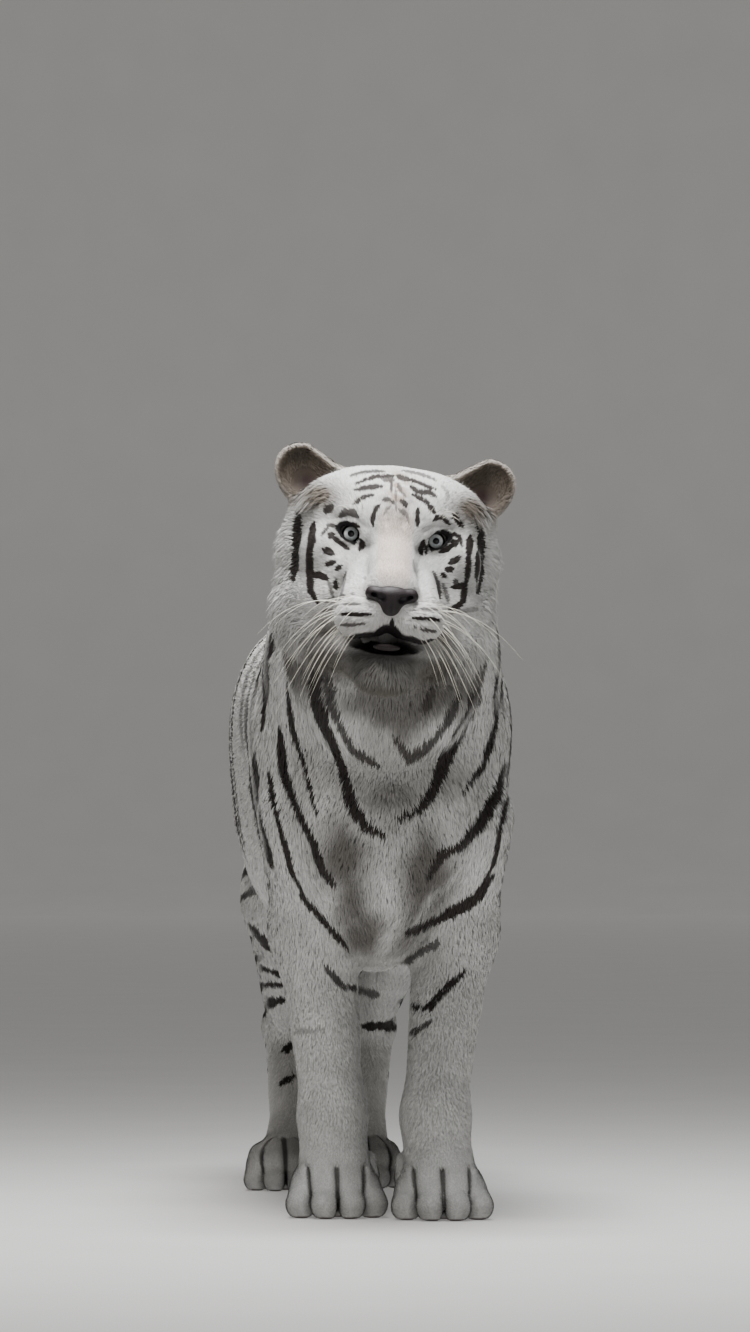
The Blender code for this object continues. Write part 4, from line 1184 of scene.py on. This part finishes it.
# materials
def nodeMaker(tree):
    def node(kind, inputs=None, out=0, **settings):   # makes a node and gives one of its outputs
        made = tree.nodes.new("ShaderNode" + kind)
        for key, value in settings.items():
            setattr(made, key, value)
        for key, value in (inputs or {}).items():
            if isinstance(value, bpy.types.NodeSocket):
                tree.links.new(value, made.inputs[key])
            else:
                made.inputs[key].default_value = value
        return made.outputs[out]
    return node


def scaled(node, colour, by):
    return node("VectorMath", {0: colour, "Scale": by}, operation="SCALE")


def timesPlus(node, x, times, plus):
    return node("Math", {0: x, 1: times, 2: plus}, operation="MULTIPLY_ADD")


def newMaterial(name, **values):
    material = bpy.data.materials.new(name)
    material.use_nodes = True
    for key, value in values.items():
        material.node_tree.nodes["Principled BSDF"].inputs[key].default_value = value
    node = nodeMaker(material.node_tree)
    return material, node, node("TexCoord", out="Object")


def joinTo(material, ends):   # joins the finished tones to the shader
    tree = material.node_tree
    for key, socket in ends.items():
        tree.links.new(socket, tree.nodes["Principled BSDF"].inputs[key])
    return material


def toneGroup(name, sizeLabel, size, contrast):   # uneven tone, as a shade about 1 and as a height
    group = bpy.data.node_groups.new(name, "ShaderNodeTree")
    group.interface.new_socket("Place", in_out="INPUT", socket_type="NodeSocketVector")
    for label, value in ((sizeLabel, size), ("Contrast", contrast)):
        group.interface.new_socket(label, in_out="INPUT", socket_type="NodeSocketFloat").default_value = value
    for label in ("Shade", "Height"):
        group.interface.new_socket(label, in_out="OUTPUT", socket_type="NodeSocketFloat")
    node = nodeMaker(group)
    given, put = group.nodes.new("NodeGroupInput").outputs, group.nodes.new("NodeGroupOutput").inputs
    if sizeLabel == "Hairs":
        wide = node("CombineXYZ", {"X": given["Hairs"], "Y": .8, "Z": 1.0})
        across = node("VectorMath", {0: given["Place"], 1: wide}, operation="MULTIPLY")
        noise = node("TexNoise", {"Vector": across, "Scale": 1.0, "Detail": 2.0})
    else:
        noise = node("TexNoise", {"Vector": given["Place"], "Scale": given["Scale"], "Detail": 4.0})
    centred = node("Math", {0: noise, 1: .5}, operation="SUBTRACT")
    group.links.new(timesPlus(node, centred, given["Contrast"], 1.0), put["Shade"])
    group.links.new(noise, put["Height"])
    return group


hairStreaks = toneGroup("hairStreaks", "Hairs", 6.0, .3)   # fine hairs that run along a tuft
mottle = toneGroup("mottle", "Scale", 60.0, .2)            # uneven all over a surface


def toneOf(node, group, place, size, contrast):
    shade = node("Group", {0: place, 1: size, 2: contrast}, node_tree=group)
    return shade, shade.node.outputs["Height"]


def coatMaterial():
    look = {"hairs": 7.0, "contrast": .55, "mottle": .22, "bump": .35, "relief": .0006, "underside": .55}
    material, node, place = newMaterial("coat", **{"Roughness": .62, "Specular IOR Level": .16})
    strand = node("UVMap", uv_map="strand")
    where = node("VectorMath", {0: strand, 1: scaled(node, place, 40.0)}, operation="ADD")
    hairs, height = toneOf(node, hairStreaks, where, look["hairs"], look["contrast"])
    tone, unevenness = toneOf(node, mottle, place, 55.0, look["mottle"])
    both = node("Math", {0: hairs, 1: tone}, operation="MULTIPLY")
    under = timesPlus(node, node("NewGeometry", out="Backfacing"), -look["underside"], 1.0)   # painted shade: a blade seen from its underside is darker
    both = node("Math", {0: both, 1: under}, operation="MULTIPLY")
    return joinTo(material, {
        "Base Color": scaled(node, node("Attribute", attribute_name="coatColour"), both),
        "Roughness": timesPlus(node, unevenness, .16, .54),
        "Normal": node("Bump", {"Height": height, "Strength": look["bump"], "Distance": look["relief"]})})


def skinMaterial():
    look = {"fur": 900.0, "contrast": .5, "bump": .5, "relief": .0005}
    material, node, place = newMaterial("shortFur", **{"Roughness": .66, "Specular IOR Level": .15})
    fur, height = toneOf(node, mottle, place, look["fur"], look["contrast"])
    return joinTo(material, {
        "Base Color": scaled(node, node("Attribute", attribute_name="coatColour"), fur),
        "Roughness": timesPlus(node, height, .2, .55),
        "Normal": node("Bump", {"Height": height, "Strength": look["bump"], "Distance": look["relief"]})})


def wetSkin(name, low, high, scale, roughness, relief, coat):   # nose leather and tongue
    material, node, place = newMaterial(
        name, **{"Coat Weight": coat, "Coat Roughness": .35, "Specular IOR Level": .35})
    cells = node("TexVoronoi", {"Vector": place, "Scale": scale}, feature="SMOOTH_F1")
    tone, height = toneOf(node, mottle, place, 130.0, .8)
    dyed = node("Mix", {"Factor": cells, 6: (*low, 1), 7: (*high, 1)}, out=2, data_type="RGBA")
    # painted shade kept in the tone attribute: darker inside the nostrils and over the tongue
    hollow = node("Attribute", attribute_name="tone")
    return joinTo(material, {
        "Base Color": node("VectorMath", {0: scaled(node, dyed, tone), 1: hollow}, operation="MULTIPLY"),
        "Roughness": timesPlus(node, height, .25, roughness - .12),
        "Normal": node("Bump", {"Height": cells, "Strength": .55, "Distance": relief}, invert=True)})


def eyeMaterial():
    look = {"iris": (.84, .88, .86), "irisDark": (.60, .64, .66), "ring": (.002, .002, .002),
            "white": (.30, .28, .26)}
    material, node, place = newMaterial("eye", **{"Roughness": .25, "Coat Weight": .35, "Coat Roughness": .02,
                                                  "Specular IOR Level": .2})
    flat = node("VectorMath", {0: place, 1: (1, 1, 0)}, operation="MULTIPLY")
    out = node("VectorMath", {0: flat}, out="Value", operation="LENGTH")
    ramp = node("ValToRGB", {"Fac": node("Math", {0: out, 1: eyeSize["radius"]}, operation="DIVIDE")})
    pupil, iris = irisSize["pupil"] / eyeSize["radius"], irisSize["radius"] / eyeSize["radius"]
    elements = ramp.node.color_ramp.elements
    elements[0].color, elements[1].position = (*look["ring"], 1), pupil
    elements[1].color = (*look["ring"], 1)
    for at, name in ((pupil + .03, "irisDark"), (.42, "iris"), (iris - .06, "iris"), (iris, "ring"),
                     (iris + .11, "ring"), (iris + .18, "white")):
        elements.new(at).color = (*look[name], 1)
    rays = node("TexNoise", {"Vector": node("VectorMath", {0: flat}, operation="NORMALIZE"),
                             "Scale": 9.0, "Detail": 3.0})
    return joinTo(material, {"Base Color": scaled(node, ramp, timesPlus(node, rays, .9, .55))})


def plainMaterial(name, colour, roughness, scale, contrast):   # whiskers and floor
    material, node, place = newMaterial(name, Roughness=roughness)
    tone = toneOf(node, mottle, place, scale, contrast)[0]
    return joinTo(material, {"Base Color": scaled(node, colour, tone)})


looks = {"coat": coatMaterial(), "skin": skinMaterial(), "eye": eyeMaterial(),
         "whisker": plainMaterial("whisker", (.62, .59, .50), .4, 30.0, .3),
         "nose": wetSkin("noseLeather", (.014, .0068, .0085), (.007, .0038, .0045), 700, .60, .0005, .05),
         # the tongue's own pink is given very dark, as painted shade of the mouth
         "tongue": wetSkin("tongue", (.020, .013, .013), (.013, .008, .008), 900, .85, .0004, 0)}
for coat in coats:
    coat.data.materials.append(looks["coat"])
for thing, look in ((skin, "skin"), (nose, "nose"), (tongue, "tongue"), (whiskers, "whisker"),
                    (eyes["left"], "eye"), (eyes["right"], "eye")):
    thing.data.materials.append(looks[look])
print("materials made")


# everything into the CAD frame, and on to its body
ownPieces = ("nose", "tongue", "eye_left", "eye_right")
fleshNodes = [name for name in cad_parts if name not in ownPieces]
for thing in [*coats, skin, nose, tongue, whiskers, *eyes.values()]:
    thing.location += Vector(shift)
    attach(thing, "root")
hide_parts(*fleshNodes)
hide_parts("nose")
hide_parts("tongue")
for side, eye in eyes.items():
    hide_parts("eye_" + side)


# floor, light and camera
studio = {"floor": (.50, .49, .475), "sky": (.82, .85, .90), "skyStrength": .06, "glow": .17,
          "flat": 36.0, "wall": 14.0, "bend": 3.0, "turns": 96}


def makeFloor():   # a pale round sheet that curves up all round, far away
    work = bmesh.new()
    flat, bend, turns = studio["flat"], studio["bend"], studio["turns"]
    line = [(flat + bend * math.sin(a), bend - bend * math.cos(a)) for a in np.linspace(0, math.pi / 2, 16)]
    rows = [[work.verts.new((r * math.sin(a), r * math.cos(a), z - .0005)) for a in
             (math.tau * k / turns for k in range(turns))] for r, z in line + [(flat + bend, studio["wall"])]]
    middle = work.verts.new((0, 0, -.0005))
    for k in range(turns):
        after = (k + 1) % turns
        work.faces.new((middle, rows[0][after], rows[0][k]))
        for one, two in zip(rows, rows[1:]):
            work.faces.new((one[k], one[after], two[after], two[k]))
    floor = addObject("floor", meshOf("floor", work))
    material = plainMaterial("paleFloor", studio["floor"], .8, 3.0, .08)
    shader = material.node_tree.nodes["Principled BSDF"]
    joinTo(material, {"Emission Color": shader.inputs["Base Color"].links[0].from_socket})
    shader.inputs["Emission Strength"].default_value = studio["glow"] / studio["floor"][1]
    floor.data.materials.append(material)


def areaLight(name, at, target, size, power, colour):
    light = bpy.data.lights.new(name, "AREA")
    light.shape, light.size, light.energy, light.color = "DISK", size, power, colour
    lamp = addObject(name, light)
    lamp.location, lamp.visible_camera = at, False
    lamp.rotation_euler = (Vector(target) - Vector(at)).to_track_quat("-Z", "Y").to_euler()


def makeCamera():
    camera = bpy.data.cameras.new("camera")
    camera.lens, camera.sensor_width, camera.clip_end = frontView["lens"], frontView["sensor"], 100
    made = addObject("camera", camera)
    right, ahead = (Vector(way) for way in frontAxes())
    made.location = Vector(shift) - ahead * frontView["distance"] - right * frontView["aside"]
    made.location.z = frontView["height"]
    upward = math.radians(90 + frontView["tilt"])
    made.rotation_euler = (upward, 0, math.radians(frontView["azimuth"]))
    bpy.context.scene.camera = made


makeFloor()
areaLight("key", (-.35, -2.05, 3.15), (0, -.80, 1.0), 1.0, 90, (1.0, .99, .97))
areaLight("fill", (1.0, -4.4, 1.0), (0, -.9, .2), 2.0, 9, (.92, .96, 1.0))
areaLight("top", (0, -.9, 3.5), (0, -.4, .8), 1.5, 190, (.96, .98, 1.0))
world = bpy.data.worlds.new("studio")
world.use_nodes = True
sky = world.node_tree.nodes["Background"].inputs
sky[0].default_value, sky[1].default_value = (*studio["sky"], 1), studio["skyStrength"]
bpy.context.scene.world = world
makeCamera()
print("stage set")
